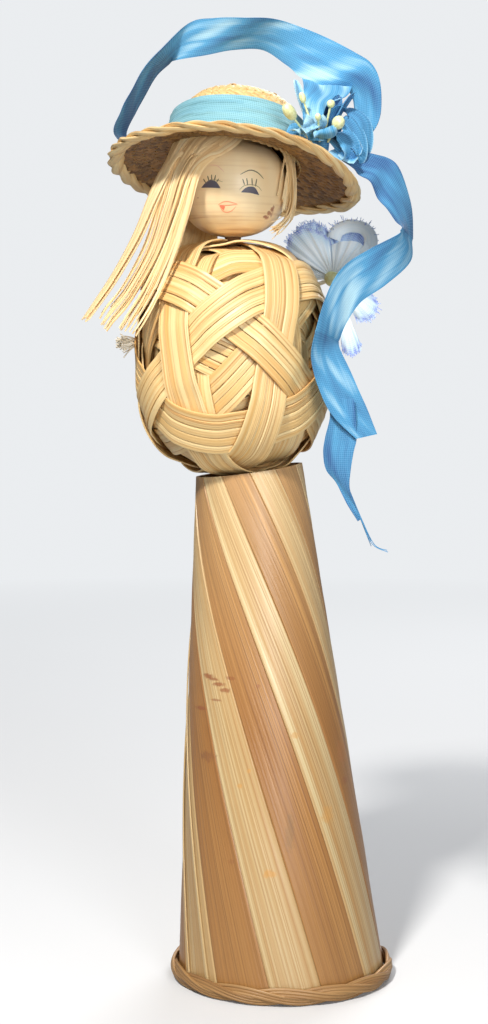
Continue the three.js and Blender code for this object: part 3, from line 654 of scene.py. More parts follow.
def skirt_mouth(angle):
    """The height at which the skirt meets the ball that sits in it."""
    z = np.full_like(angle, float(SKIRT_HEIGHT))
    for _ in range(5):
        inner = skirt_radius(z) - STRIP_THICKNESS
        x = foot[0] + inner * np.sin(angle) - SKIRT_LEAN * z - ball[0]
        share = np.minimum(np.hypot(x, inner * np.cos(angle)) / (BALL_REACH + FIT_GAP), 0.99)
        depth = (1 - share**BALL_POWER) ** (1 / BALL_POWER)
        z = ball[2] - (BALL_REACH + FIT_GAP) * BALL_STRETCH * depth - FIT_GAP
    return z


twist_top = strip_twist(np.array([float(SKIRT_TOP_RADIUS)]))[0]


def skirt_surface(base, share, out):
    """Points for base angles in radians and shares of the height, out from the cone."""
    mouth = skirt_mouth(base - twist_top)
    z = SKIRT_START + share * (mouth - SKIRT_START)
    angle = base - strip_twist(skirt_radius(share * SKIRT_HEIGHT))
    return leaning(around(skirt_radius(z) + out, angle, z))


def ridges(chance, across):
    """Small uneven waves over the places across, from -1 to 1, for a split surface."""
    line = np.zeros_like(across)
    for waves in (2, 5, 9, 15, 23):
        line += np.sin(np.pi * (waves * across + 2 * chance.random())) * chance.random() / waves**0.5
    return line


def patchy(chance, across, patches, spread, lines):
    """Steps of darker and paler wood across a strip, with a few thin dark lines."""
    edges = np.sort(chance.uniform(-1, 1, patches - 1))
    values = chance.uniform(0, spread, patches)
    tone = values[np.searchsorted(edges, across)]
    for _ in range(lines):
        near = np.abs(across - chance.uniform(-0.95, 0.95)) < chance.uniform(0.012, 0.035)
        tone = np.where(near, chance.uniform(0.6, 1.0), tone)
    return tone


# %% [markdown]
# Each strip gets its own ridges, patches and thin dark lines from its own seed. Near the top,
# one brown strip and one cream strip have come a little away from their neighbours. On the left
# the last strip ends over the first, and its edge has split into three raised splinters.

# %% One strip of the skirt
def skirt_strip(kind, i, start, end, finish, slit_start=0.0, slit_end=0.0):
    """A strip between two angles in degrees at the foot. A slit opens along an edge near the top."""
    number = 2 * i + (kind == "cream")
    chance = np.random.default_rng(100 + number)
    across = np.linspace(-1, 1, STRIP_COLUMNS)
    share = np.linspace(0, 1, STRIP_ROWS)[:, None]
    opening = SEAM_GAP + SLIT_GAP * np.clip((share - 0.74) / 0.2, 0, 1) * np.array([[slit_start, slit_end]])
    low = np.radians(start) + opening[:, :1]
    high = np.radians(end) - opening[:, 1:]
    base = low + (high - low) * (across + 1) / 2
    relief = RIDGE_HEIGHT * ridges(chance, across) - EDGE_FALL * np.maximum(np.abs(across) - 0.95, 0) / 0.05
    wobble = 0.03 * np.sin(share * 23 + 9 * chance.random() + across * 3)
    top = skirt_surface(base, share, relief + wobble)
    bottom = skirt_surface(base, share, -STRIP_THICKNESS)
    patches = dict(cream=(8, 0.6, 12), brown=(8, 1.0, 6))[kind]
    tone = patchy(chance, across, *patches)
    parts = Parts(chance)
    shell(parts, top, bottom, (base - low.mean()) * SKIRT_FOOT_RADIUS, share * STRIP_LENGTH,
          tone=tone[None, :])
    if number == 2 * PAIRS - 1:
        add_splinters(parts)
    make_piece(f"{kind}_strip_{i + 1}", parts, finish, "figure",
               [f"skirt_strip_{kind}_{i + 1}"])


def add_splinters(parts):
    """The raised edges where the skirt's last strip ends over its first."""
    share = np.linspace(0.01, 1, 90)
    for degrees, out, width in ((-43, 0.3, 0.9), (-60, 0.35, 0.7), (-62.5, 0.2, 0.5)):
        base = np.full((90, 1), math.radians(degrees))
        path = skirt_surface(base, share[:, None], out)[:, 0]
        facing = unit((path - foot + SKIRT_LEAN * path[:, 2:] * [1, 0, 0]) * [1, 1, 0])
        strand(parts, path, facing, width * (1 - 0.4 * share), SPLINTER_THICKNESS, tone=0.0)


pair = 360 / PAIRS
for i in range(PAIRS):
    start = FIRST_STRIP + pair * i
    middle = start + pair * BROWN_SHARE
    skirt_strip("brown", i, start, middle, brown, slit_start=float(i == 1))
    skirt_strip("cream", i, middle, start + pair, cream, slit_end=float(i == 0))

# %% [markdown]
# ## Hem
# Flat canes are twisted round each other along the foot. Three strands with the same wave, a
# third of a turn apart, cross over one another and leave the dark lens-shaped gaps between them.

# %% Twisted hem
HEM_RADIUS = 25.75
HEM_HEIGHT = 2.3
HEM_LAYS = 5
HEM_SWAY = 0.38
HEM_LIFT = 1.05
CANE_WIDTH = 0.68
CANE_THICKNESS = 0.7
CANE_SPACING = 0.66
CANE_TONES = (0.1, 0.8, 0.4)
parts = Parts()
angle = ring_angles(400)
for twisted in range(3):
    phase = HEM_LAYS * angle + 2 * np.pi * twisted / 3
    path = around(HEM_RADIUS + HEM_SWAY * np.sin(phase), angle, HEM_HEIGHT + HEM_LIFT * np.cos(phase)) + foot
    facing = around(1, angle, 0.35 * np.cos(phase))
    side = unit(np.cross(ahead_along(path, joined=True), facing))
    for k in (-1, 0, 1):
        strand(parts, path + side * CANE_SPACING * k, facing, CANE_WIDTH, CANE_THICKNESS, columns=7,
               dome=0.05, joined=True, tone=CANE_TONES[(twisted + k) % 3])
make_piece("hem_canes", parts, cane, "figure", ["hem_hoop_outer"])

# %% [markdown]
# ## Plaited ball
# The bodice is a ball of bands, with two courses of six in view and a third that closes the
# inside. A band is four or five splints that run side by side round one great circle, and it goes
# over and under the bands that it crosses. The six circles are laid out as the axes of an
# icosahedron, so that every crossing is alike. The ball is taller than it is wide and has full
# shoulders: every place on a round ball is first moved out to a superellipse, whose power says
# how full it is, and then stretched upwards.

# %% Six bands in each course
def plait_axes(side, up, spin):
    a, e = math.radians(side), math.radians(up)
    facing = np.array([math.sin(a) * math.cos(e), -math.cos(a) * math.cos(e), math.sin(e)])
    right = np.array([math.cos(a), math.sin(a), 0])
    above = np.cross(right, facing)
    spread = math.atan(2)
    axes = [facing]
    for turn in np.radians(spin + 72 * np.arange(5)):
        sideways = right * math.cos(turn) + above * math.sin(turn)
        axes.append(facing * math.cos(spread) + sideways * math.sin(spread))
    return axes


def passes_over(axis, place, axes):
    tangent = np.cross(axis, place)
    gap = max([sign * n for n in axes for sign in (1, -1)], key=lambda n: n @ place)
    towards = gap - place * (gap @ place)
    return (np.cross(tangent, towards) @ place) * (tangent @ towards) > 0


def swelling(place):
    """How far out a place on a round ball moves, to give the ball its full shoulders."""
    way = unit(place)
    flat, tall = np.hypot(way[:, 0], way[:, 1]), np.abs(way[:, 2])
    return (flat**BALL_POWER + tall**BALL_POWER)[:, None] ** (-1 / BALL_POWER)


def square_on(way):
    """The direction that stands square on the full-shouldered ball, for a direction from its middle."""
    flat = np.hypot(way[:, 0], way[:, 1])[:, None] ** (BALL_POWER - 2)
    tall = np.abs(way[:, 2:]) ** (BALL_POWER - 2) / BALL_STRETCH
    return unit(way * np.concatenate([flat, flat, tall], axis=1))


# %% Plait the three courses
SPLINT_THICKNESS = 0.42
# Each course: the axes of its bands, radius, how far it goes in and out, band width, splints
COURSES = {
    "outer": (plait_axes(-4, -10, 54), 22.2, 0.45, 8.2, 5),
    "inner": (plait_axes(0, 25, 6), 20.75, 0.42, 8.0, 5),
    "core": (plait_axes(20, 5, 30), 19.3, 0.42, 8.4, 4),
}


def plait_band(course, number):
    axes, radius, lift, width, splints = COURSES[course]
    chance = np.random.default_rng(300 + number + 17 * splints)
    axis = axes[number]
    other = axes[1] if number == 0 else axes[0]
    crossing = unit(np.cross(axis, other))
    along = np.cross(axis, crossing)
    phase = 0 if passes_over(axis, crossing, axes) else math.pi
    angle = ring_angles(160)
    out = crossing * np.cos(angle)[:, None] + along * np.sin(angle)[:, None]
    wave = np.tanh(2.4 * np.cos(5 * angle + phase))
    parts = Parts(chance)
    pitch = width / splints
    for k in range(splints):
        edge = (k - (splints - 1) / 2) * pitch
        sag = 0.05 * np.sin(angle * chance.integers(2, 5) + 6 * chance.random())
        drift = 0.05 * np.sin(angle * chance.integers(2, 6) + 6 * chance.random())
        path = out * (radius + lift * wave + sag)[:, None] + axis * (edge + drift)[:, None]
        swell = swelling(path)
        middle = path * swell * [1, 1, BALL_STRETCH] + ball
        facing = square_on(out + axis * chance.normal(0, 0.04))
        splint_width = (pitch + 0.06) * swell[:, 0] ** 1.5
        strand(parts, middle, facing, splint_width, SPLINT_THICKNESS, columns=9, dome=0.03, joined=True,
               tone=chance.random(), u_start=3 * k, groove=0.3)
    solids = [] if course == "core" else [f"bodice_band_{course}_{number + 1}"]
    make_piece(f"band_{course}_{number + 1}", parts, bamboo, "figure", solids, crease=32)


for i in range(6):
    for course in COURSES:
        plait_band(course, i)

# %% [markdown]
# ## Head
# The head is a turned bead: rounder than a drum and flatter than a ball, which is what a
# superellipse gives. The face is paint, so each stroke is a skin of paint laid just over the
# wood. Its strokes are drawn as seen from the front, and each point is moved back to the bead.

# %% Form and finish of the bead
BEAD_POWER = 2.3


def bead_radius(z, out=0.0):
    share = np.clip(np.abs(z) / (BEAD_HALF_HEIGHT + out), 0, 1)
    return (BEAD_RADIUS + out) * (1 - share**BEAD_POWER) ** (1 / BEAD_POWER)


def on_face(x, z, out):
    """The place on the bead's front that lies behind x and z, counted from its middle."""
    radius = bead_radius(z, out)
    y = -np.sqrt(np.maximum(radius**2 - x**2, 0))
    return np.stack([x, y, z], axis=-1) + head


RUBBED = tint(160, 96, 74)
# Each rubbed spot on the cheek: place from the bead's middle, half sizes, strength
SPOTS = [
    ((7.7, -7.5), (0.75, 2, 0.6), 0.85), ((8.3, -6.7), (0.5, 2, 0.7), 0.75),
    ((8.8, -6.9), (0.35, 2, 0.6), 0.6), ((9.1, -5.8), (0.45, 2, 0.7), 0.85),
    ((9.4, -5.2), (0.3, 2, 0.5), 0.6), ((-7.96, -3.31), (0.22, 2, 0.22), 0.5),
]
wood, graph, shader = new_finish("turned wood", Specular_IOR_Level=0.45, Coat_Weight=0.2, Coat_Roughness=0.35)
here = graph.object_place()
turning = graph.noise(graph.vector("MULTIPLY", here, (60, 60, 1400)), 1.0, 3.0, 0.6)
growth = graph.noise(graph.vector("MULTIPLY", here, (170, 120, 40)), 1.0)
colour = graph.blend(graph.span(growth, 0.35, 0.7), tint(252, 230, 186), tint(244, 214, 164))
low_down = graph.span(graph.apart(here)[2], (head[2] - 4) * MM, (head[2] - 9) * MM, 0.2, 0.75)
rings = graph.times(graph.span(turning, 0.5, 0.75), low_down)
colour = graph.blend(rings, colour, tint(196, 146, 92))
for (x, z), size, strength in SPOTS:
    mask = graph.group("Stain", {"Centre": tuple(on_face(x, z, 0.0)), "Size": size})["Mask"]
    colour = graph.blend(graph.times(mask, strength), colour, RUBBED)
graph.join(colour, shader["Base Color"])
graph.join(graph.span(turning, 0, 1, 0.32, 0.46), shader["Roughness"])
emboss(graph, shader, turning, 0.12, STRIP_RELIEF)

# %% Turn the bead
BORE = 2.15
BORE_TOP = 4.0
slope = np.linspace(-1, 1, 73) * math.pi / 2
z = np.sign(np.sin(slope)) * np.abs(np.sin(slope)) ** (2 / BEAD_POWER) * BEAD_HALF_HEIGHT
r = bead_radius(z)
r[z < 0] = np.maximum(r[z < 0], BORE)
outer = np.stack([np.maximum(r, 0.02), z], axis=-1)
outer[:, 1] = np.where(outer[:, 0] > BORE, outer[:, 1], np.sign(outer[:, 1]) * BEAD_HALF_HEIGHT)
inner = np.stack([np.full_like(z, BORE), np.minimum(z, BORE_TOP)], axis=-1)
inner[z > BORE_TOP, 0] = np.linspace(BORE, 0.01, (z > BORE_TOP).sum())
angle = ring_angles(96)[:, None]
top, bottom = (around(side[:, 0], angle, side[:, 1]) + head for side in (outer, inner))
parts = Parts()
shell(parts, top, bottom, lengths_along(outer)[None, :], angle * BEAD_RADIUS, joined=True,
      turned_v=2 * math.pi * BEAD_RADIUS)
make_piece("bead", parts, wood, "head", ["head_bead"], crease=60)

# %% [markdown]
# The face has half-closed eyes with lashes, thin brows and a small open mouth. A stroke is a line
# whose width swells in the middle, and a filled form lies between two lines. The tone that a
# stroke carries picks its paint.

# %% Brush strokes
DARK, GREEN, PALE, BLUSH, CORAL, LIP, RED = 0.0, 0.25, 0.5, 0.75, 0.9, 0.94, 1.0
PAINT_OUT = 0.05
PAINT_IN = -0.04
paint, graph, shader = new_finish("face paint", Roughness=0.45)
graph.join(graph.ramp(
    graph.carried("tone"), (DARK, tint(92, 88, 98)), (GREEN, tint(112, 108, 84)),
    (PALE, tint(176, 160, 116)), (BLUSH, tint(236, 190, 162)), (CORAL, tint(240, 148, 112)),
    (RED, tint(226, 92, 60))), shader["Base Color"])


def paint_between(parts, lower, upper, tone, steps=24, columns=5):
    lower, upper = smooth_through(lower, steps), smooth_through(upper, steps)
    share = np.linspace(0, 1, columns)[None, :, None]
    flat = lower[:, None] * (1 - share) + upper[:, None] * share
    x, z = flat[..., 0], flat[..., 1]
    shell(parts, on_face(x, z, PAINT_OUT), on_face(x, z, PAINT_IN), x, z, tone=tone)


def paint_stroke(parts, points, width, tone, steps=18):
    line = smooth_through(points, steps)
    ahead = unit(np.gradient(line, axis=0))
    side = np.stack([-ahead[:, 1], ahead[:, 0]], axis=-1)
    share = np.linspace(0, 1, steps)
    half = (0.25 + 0.75 * np.sin(np.pi * share) ** 0.6)[:, None] * width / 2
    paint_between(parts, line - side * half, line + side * half, tone, steps, 3)


parts = Parts()
paint_between(parts, [(-7.13, -1.15), (-4.9, -1.25), (-2.73, -1.44)],
              [(-7.13, -1.1), (-5.9, 0.15), (-4.87, 0.49), (-3.7, 0.05), (-2.73, -1.4)], DARK)
paint_between(parts, [(1.96, -2.35), (4.0, -2.45), (6.08, -2.86)],
              [(1.96, -2.3), (2.9, -1.4), (3.92, -1.03), (5.1, -1.25), (6.08, -2.8)], DARK)
# Each lash: its root and its tip
LASHES = [
    ((-6.1, -0.1), (-6.66, 0.85)), ((-5.4, 0.3), (-5.68, 1.5)), ((-4.75, 0.4), (-4.76, 1.73)),
    ((-4.15, 0.3), (-3.82, 1.58)), ((-3.6, 0.0), (-3.12, 0.7)), ((2.74, -0.68), (2.28, 0.68)),
    ((3.44, -0.78), (3.21, 0.88)), ((4.51, -0.81), (4.39, 0.92)), ((5.21, -0.98), (5.49, 0.79)),
]
for root, tip in LASHES:
    middle = ((root[0] + tip[0]) / 2, (root[1] + tip[1]) / 2)
    paint_stroke(parts, [root, middle, tip], 0.26, GREEN, 8)
paint_stroke(parts, [(-6.2, -0.3), (-4.9, 0.62), (-3.4, 0.35), (-2.16, -0.04)], 0.14, PALE)
paint_stroke(parts, [(1.56, -1.84), (2.6, -0.9), (4.1, -0.6), (5.7, -0.9), (6.65, -1.89)], 0.2, PALE)
paint_stroke(parts, [(1.76, 1.64), (3.92, 2.67), (5.7, 2.2), (7.06, 0.88)], 0.24, GREEN)
paint_stroke(parts, [(-5.13, 3.93), (-3.42, 3.62), (-1.93, 2.21)], 0.16, BLUSH)
paint_stroke(parts, [(-3.32, -5.11), (-2.2, -4.5), (-1.17, -4.38), (-0.1, -4.6), (1.19, -4.99)], 0.2, CORAL)
paint_stroke(parts, [(-3.1, -5.15), (-1.4, -5.2), (1.0, -5.05)], 0.2, CORAL)
paint_stroke(parts, [(-3.0, -5.3), (-2.3, -6.35), (-1.36, -6.74), (-0.2, -6.4), (0.78, -5.45)], 0.16, CORAL)
paint_between(parts, [(-2.95, -5.3), (-2.5, -5.9), (-2.0, -6.3)],
              [(-2.7, -5.15), (-2.2, -5.25), (-1.7, -5.45)], LIP)
make_piece("face_paint", parts, paint, "head")

# %% [markdown]
# ## Hat
# A straw hat is one long braid, sewn to itself in a spiral from the middle of the crown to the
# edge of the brim. So the braid's middle line walks down the hat's profile at a steady pitch, and
# three straws weave about it. The edge is a thicker braid.

# %% Spiral of braid
HAT_SEAT = 6.5
CROWN_RADIUS = 15.1
BRIM_RADIUS = 26.9
BRIM_WAVE = 0.9
BRAID_PITCH = 2.6
BRAID_WIDTH = 3.7
BRAID_STEP = 0.62
STRAW_WIDTH = 1.9
STRAW_THICKNESS = 0.34
LOOSE_STRAWS = 16
side, back = math.radians(8), math.radians(14.5)
turn_side = np.array([[math.cos(side), 0, math.sin(side)], [0, 1, 0], [-math.sin(side), 0, math.cos(side)]])
turn_back = np.array([[1, 0, 0], [0, math.cos(back), math.sin(back)], [0, -math.sin(back), math.cos(back)]])
hat_turn = turn_side @ turn_back


def on_hat(r, angle, h):
    """A place on the tilted hat, from its own radius, angle from the front and height over the seat."""
    share = np.maximum(0, (r - CROWN_RADIUS) / (BRIM_RADIUS - CROWN_RADIUS))
    wave = BRIM_WAVE * share * (np.cos(2 * angle + 0.5) + 0.5 * np.cos(3 * angle - 1.2))
    front_dip = BRIM_WAVE * share * np.maximum(np.cos(angle + 0.35), 0) ** 2
    return around(r, angle, HAT_SEAT + h + wave - front_dip) @ hat_turn.T + head


HAT_PROFILE = [(0.9, 16.0), (6, 15.5), (9.3, 14.4), (12.0, 12.6), (13.7, 9.3), (14.5, 1.2), (16.2, 0.0),
               (27.0, -2.6)]
profile = smooth_through(HAT_PROFILE, 200)
distance = lengths_along(profile)


def on_profile(walked):
    """Radius and height at a distance down the hat's profile."""
    return [np.interp(walked, distance, profile[:, k]) for k in (0, 1)]


turned_by, walked, rows = 0.0, 0.0, []
while walked < distance[-1]:
    r, h = on_profile(walked)
    rows.append((r, turned_by, h, walked))
    step = BRAID_STEP / r
    turned_by += step
    walked += BRAID_PITCH * step / (2 * math.pi)
r, angle, h, walked = np.array(rows).T
middle = on_hat(r, angle, h)
(r_on, h_on), (r_off, h_off) = on_profile(walked + 0.2), on_profile(walked - 0.2)
outward = unit(on_hat(r_on, angle, h_on) - on_hat(r_off, angle, h_off))
normal = unit(np.cross(ahead_along(middle), outward))
if (normal[0] @ hat_turn[:, 2]) < 0:
    normal = -normal


# %% Three straws about a middle line
def braid(parts, middle, outward, normal, lay, spread, depth, straw_width, straw_thickness, chance,
          ring=False):
    """Three straws about a middle line. In a ring they twist round it, and else they cross flat."""
    length = lengths_along(middle)
    turns = max(1, round(length[-1] / lay))
    phase = 2 * math.pi * turns * length / (length[-1] + (length[1] if ring else 0))
    for k in range(3):
        here = phase + 2 * math.pi * k / 3
        lift, reach = (np.sin(here), np.cos(here)) if ring else (np.sin(2 * here), np.sin(here))
        path = middle + outward * (spread * reach)[:, None] + normal * (depth * lift)[:, None]
        if ring:
            strand(parts, path, normal, straw_width, straw_thickness, 7, joined=True, rounded=True,
                   tone=chance.random())
            continue
        cuts = np.linspace(0, len(path), 15).astype(int)
        for begin, end in zip(cuts[:-1], cuts[1:]):
            straw_run = slice(begin, min(end + 2, len(path)))
            strand(parts, path[straw_run], normal[straw_run], straw_width, straw_thickness,
                   dome=0.08, tone=chance.random())


parts = Parts()
braid(parts, middle, outward, normal, lay=5.6, spread=(BRAID_WIDTH - STRAW_WIDTH) / 2, depth=0.28,
      straw_width=STRAW_WIDTH, straw_thickness=STRAW_THICKNESS, chance=np.random.default_rng(5))
loose = np.random.default_rng(8)
for _ in range(LOOSE_STRAWS):
    start = np.array([loose.uniform(-7, 7), loose.uniform(-7, 7)])
    turn = loose.uniform(0, 2 * math.pi)
    way = start + np.outer(np.linspace(0, loose.uniform(3, 6), 8), [math.cos(turn), math.sin(turn)])
    r, lift = np.hypot(*way.T), 0.45 + 0.5 * np.linspace(-1, 1, 8) ** 2 * loose.random()
    path = on_hat(r, np.arctan2(way[:, 0], -way[:, 1]), np.interp(r, profile[:, 0], profile[:, 1]) + lift)
    strand(parts, path, hat_turn[:, 2], 1.2, 0.3, dome=0.06, tone=loose.random())
make_piece("hat_braid", parts, straw, "head", ["straw_hat"])

# %% [markdown]
# The edge of the brim is one thicker ring, whose three straws twist round one another. Sewing by
# hand leaves it a little uneven.

# %% Thicker edge of the brim
EDGE_RADIUS = 28.1
EDGE_HEIGHT = -2.9
angle = ring_angles(420)
uneven = 0.12 * np.sin(7 * angle + 1) + 0.1 * np.sin(17 * angle) + 0.06 * np.sin(31 * angle + 2)
edge_height = EDGE_HEIGHT * EDGE_RADIUS / BRIM_RADIUS - 1.2 * uneven
middle = on_hat(EDGE_RADIUS - 0.1 + uneven, angle, edge_height)
outward = unit(on_hat(EDGE_RADIUS + 0.2, angle, -2.74) - on_hat(EDGE_RADIUS - 0.2, angle, -2.70))
normal = unit(np.cross(ahead_along(middle, joined=True), outward))
parts = Parts()
braid(parts, middle, outward, normal, lay=17.0, spread=0.75, depth=0.62, straw_width=2.5,
      straw_thickness=1.0, chance=np.random.default_rng(6), ring=True)
make_piece("hat_edge_braid", parts, pale_straw, "head", ["hat_edge_coil"])

# %% [markdown]
# ## Hair
# The hair is straw too: long flat blades bunched under the hat, which fall in three bundles on
# one side and one thin bundle on the other. Every blade follows its bundle's middle line with its
# own offset, crosses its neighbours on the way down, and narrows to an end at its own length.

# %% Blades in bundles
BLADE_THICKNESS = 0.18


def beside_head(rows):
    """Places from rows of degrees from the front, distance out from the bead, and height."""
    degrees, stand_off, height = np.asarray(rows, float).T
    return around(BEAD_RADIUS + stand_off, np.radians(degrees), height) + head


def bundle(name, node, rows, blades, wisps, spread, depth, widths, seed_number, ends=(0.8, 1.0)):
    """Blades along rows of places. Spread and depth are half sizes, and ends is where blades stop."""
    chance = np.random.default_rng(seed_number)
    line = smooth_through(beside_head(rows), 60)
    out = unit((line - head) * [1, 1, 0])
    across = unit(np.cross(ahead_along(line), out))
    share = np.linspace(0, 1, 60)
    breadth = np.interp(share, [0, 0.3, 0.6, 1], spread)
    parts = Parts(chance)
    for k in range(blades + wisps):
        thin = k >= blades
        place = chance.uniform(-1, 1) if thin else -1 + 2 * (k + 0.5) / blades
        goal = np.clip(place + chance.normal(0, 1.0 if thin else 0.8), -1.5, 1.5)
        keep = share <= chance.uniform(*ends)
        crossing = np.clip((share - 0.25) / 0.6, 0, 1)
        sway = chance.normal(0, 0.5) * np.sin(np.pi * share * chance.uniform(0.6, 1.5)) * share
        stray = chance.normal(0, 2.4 if thin else 1.2) * np.maximum(share - 0.4, 0) ** 1.5
        offset = across * (breadth * (place + (goal - place) * crossing) + sway + stray)[:, None]
        layer = depth * (chance.uniform(-1, 1) + chance.normal(0, 0.5) * share**2)
        path = (line + offset + out * layer[:, None])[keep]
        lean = out + across * chance.normal(0, 0.3) + np.array([0, -0.25, 0.1])
        down = share[keep] / share[keep][-1]
        taper = np.interp(down, [0, 0.3, 0.6, 0.92, 1], [1.1, 1, 0.72, 0.55, 0.35])
        width = taper * (chance.uniform(0.2, 0.35) if thin else chance.uniform(*widths))
        strand(parts, path, lean[keep], width, BLADE_THICKNESS, dome=chance.uniform(-0.05, 0.05),
               tone=chance.random())
    make_piece(name, parts, hair_finish, "head", [node])


bundle("hair_outer", "hair_lock_outer", [
    [-14, -4.5, 14.5], [-34, -1.6, 11.4], [-50, -0.4, 10.0], [-62, 1.9, 7.4], [-63.1, 5.11, 2.1],
    [-66.5, 7.46, -3.7], [-72.3, 10.39, -11.8], [-77.5, 15.16, -20.9], [-81.3, 20.48, -28.9],
    [-82.3, 22.3, -31.5],
], 20, 6, (2.4, 3.2, 2.0, 1.7), 0.45, (0.8, 1.5), 11, ends=(0.86, 1.0))
bundle("hair_middle", "hair_lock_middle", [
    [-2, -5.0, 14.5], [-20, -2.0, 11.4], [-34, -0.8, 9.8], [-46, 1.0, 7.4], [-49.3, 4.28, 2.3],
    [-53.6, 6.28, -5.7], [-60.3, 8.59, -15.2], [-67.2, 13.22, -24.9], [-71.3, 17.06, -30.3],
    [-73, 18.6, -33],
], 22, 10, (2.6, 3.6, 2.6, 2.8), 0.5, (0.8, 1.5), 12, ends=(0.76, 1.0))
bundle("hair_inner", "hair_lock_inner", [
    [12, -5.5, 14.2], [-4, -2.4, 11.2], [-18, -1.4, 9.4], [-30, 0.6, 7.0], [-37.4, 3.49, 2.3],
    [-42.2, 5.3, -6.7], [-47, 7.48, -15.5], [-53.6, 11, -25.2], [-59.5, 15.01, -33.3], [-61, 16, -35.5],
], 22, 10, (2.2, 3.4, 2.6, 2.7), 0.5, (0.8, 1.5), 13, ends=(0.76, 0.93))
bundle("hair_far_side", "hair_lock_far_side", [
    [58, 0.0, 11], [65, 1.5, 6.5], [69, 2.0, 2.0], [72, 1.9, -3.0], [69, 1.2, -7.2], [58, 0.1, -9.7],
    [49, -0.8, -10.9],
], 14, 6, (0.9, 0.9, 0.8, 0.5), 0.75, (0.3, 0.55), 14, ends=(0.9, 1.0))

# %% [markdown]
# Under the hat the same blades lie on the bead, from the crown down to the hat's seat: from the
# temple on the viewer's right, all round the back, to the left of the forehead. Those over the
# temple hang lower and narrow to a point. The rest of the forehead stays bare. At the back a
# curtain of longer blades hangs down to the bodice.

# %% Blades on the bead
WIG_RADIUS = 13.65
TEMPLE, PAST_TEMPLE, FOREHEAD_END = 57, 82, 330
CAP_BLADES = 110
BACK_BLADES = 70
BACK_START, BACK_SPAN = 200, 82


def lay_blade(parts, line, angle, width, thickness, dome, tone, turn=np.eye(3)):
    """A blade along rows of distance from the neck's axis and height, at its own angles."""
    path = around(line[:, 0], angle, line[:, 1]) @ turn.T + head
    strand(parts, path, around(1, angle, 0) @ turn.T, width, thickness, dome=dome, tone=tone)


chance = np.random.default_rng(15)
parts = Parts(chance)
share = np.linspace(0, 1, 16)
for k in range(CAP_BLADES):
    degrees = TEMPLE + (FOREHEAD_END - TEMPLE) * (k + chance.uniform(-0.4, 0.4)) / (CAP_BLADES - 1)
    low_hanging = degrees < PAST_TEMPLE
    end = 1.5 + chance.uniform(-0.6, 0.3) - (chance.uniform(3.5, 8.0) if low_hanging else 0)
    line = smooth_through([[13.0, 9.5], [13.5, 7.2], [WIG_RADIUS, 4.5], [WIG_RADIUS - 0.1, end]], 16)
    angle = math.radians(degrees) + 0.15 * share * chance.normal(0, 0.6)
    line[:, 0] -= chance.uniform(0, 0.35)
    width = chance.uniform(0.7, 1.5) * (1 - 0.6 * share * low_hanging)
    lay_blade(parts, line, angle, width, 0.25, 0.06, chance.random(), hat_turn)
for k in range(BACK_BLADES):
    middle = math.radians(BACK_START + BACK_SPAN * (k + chance.uniform(-0.8, 0.8)) / (BACK_BLADES - 1))
    end = chance.uniform(-17.2, -13.6)
    end_radius = 16.1 - 0.9 * (end + 14) + chance.uniform(0, 0.7)
    line = smooth_through([[13.2, 4.0], [13.8, -2.0], [14.4, -9.0], [end_radius, end]], 16)
    angle = middle + 0.12 * chance.normal() * share**2
    # The curtain blades all take the deepest tone, as painted shade behind the head.
    lay_blade(parts, line, angle, chance.uniform(0.6, 1.2), 0.22, 0.05, 1.0)
make_piece("hair_cap", parts, hair_finish, "head", ["hair_wig"])

# %% [markdown]
# ## Ribbons
# The trim is narrow sheer ribbon. Its tone runs from deep blue to pale, partly the cloth's uneven
# dye and partly painted light that pales it where it faces the light. The gaps between its threads
# let a little light through.

# %% Ribbon finish
THREAD_PITCH = 0.45
THREAD_RELIEF = 0.0001
RIBBON_WIDTH = 9.5
seat = head + np.array([0, 0, HAT_SEAT])


def ribbon_finish(name, deep, pale, white, clear=0.7, gloss=0.62, weave_share=0.2):
    """Deep, pale and white are screen colours. Clear is how much the gaps between threads cover."""
    finish, graph, shader = new_finish(name, Sheen_Weight=0.1, Sheen_Roughness=0.5, Specular_IOR_Level=0.22)
    place, white = graph.strip_place(), tint(*white)
    weave = graph.group("Threads", {"Place": place, "Pitch": THREAD_PITCH})
    streaks = graph.group("Strip Grain", {
        "Place": place, "Seed": 0.3, "Fibre Width": 0.3, "Band Width": 1.6, "Drift": 0.03})
    shift = graph.span(streaks["Bands"], 0, 1, -0.16, 0.16)
    shade = graph.sum("ADD", graph.carried("tone"), shift, clamp=True)
    colour = graph.ramp(shade, (0.0, tint(*deep)), (0.6, tint(*pale)), (1.0, white))
    graph.join(graph.blend(graph.times(weave["Height"], weave_share), colour, white), shader["Base Color"])
    graph.join(graph.span(weave["Height"], 0, 1, gloss, gloss + 0.15), shader["Roughness"])
    graph.join(graph.span(weave["Cover"], 0, 1, clear, 1.0), shader["Alpha"])
    emboss(graph, shader, weave["Height"], 0.3, THREAD_RELIEF)
    return finish


blue = ribbon_finish("blue ribbon", (12, 78, 138), (68, 150, 198), (180, 220, 236), clear=0.82)
band_blue = ribbon_finish("band ribbon", (84, 150, 172), (136, 190, 202), (198, 228, 230))
satin_finish = ribbon_finish(
    "satin", (16, 84, 210), (196, 228, 252), (244, 252, 255), clear=1.0, gloss=0.4, weave_share=0.6)


# %% [markdown]
# Two builders lay a ribbon as a grid. One follows a middle line with a direction across it. The
# other fills the space between two edges, which suits a ribbon that twists. Both share the same
# creases, which are small waves along the cloth and across it.

# %% Ribbon builders
def creases(number, place, along, ripple, waves_and_lengths, fade):
    """Soft waves over places across a ribbon, from one edge to the other, and millimetres along it."""
    chance = np.random.default_rng(700 + number)
    height = 0 * place
    for waves, length in waves_and_lengths:
        push = 2 * math.pi * (waves * place + along / length + chance.random())
        height = height + ripple * np.sin(push) * chance.uniform(0.4, 1) / waves**fade
    return height


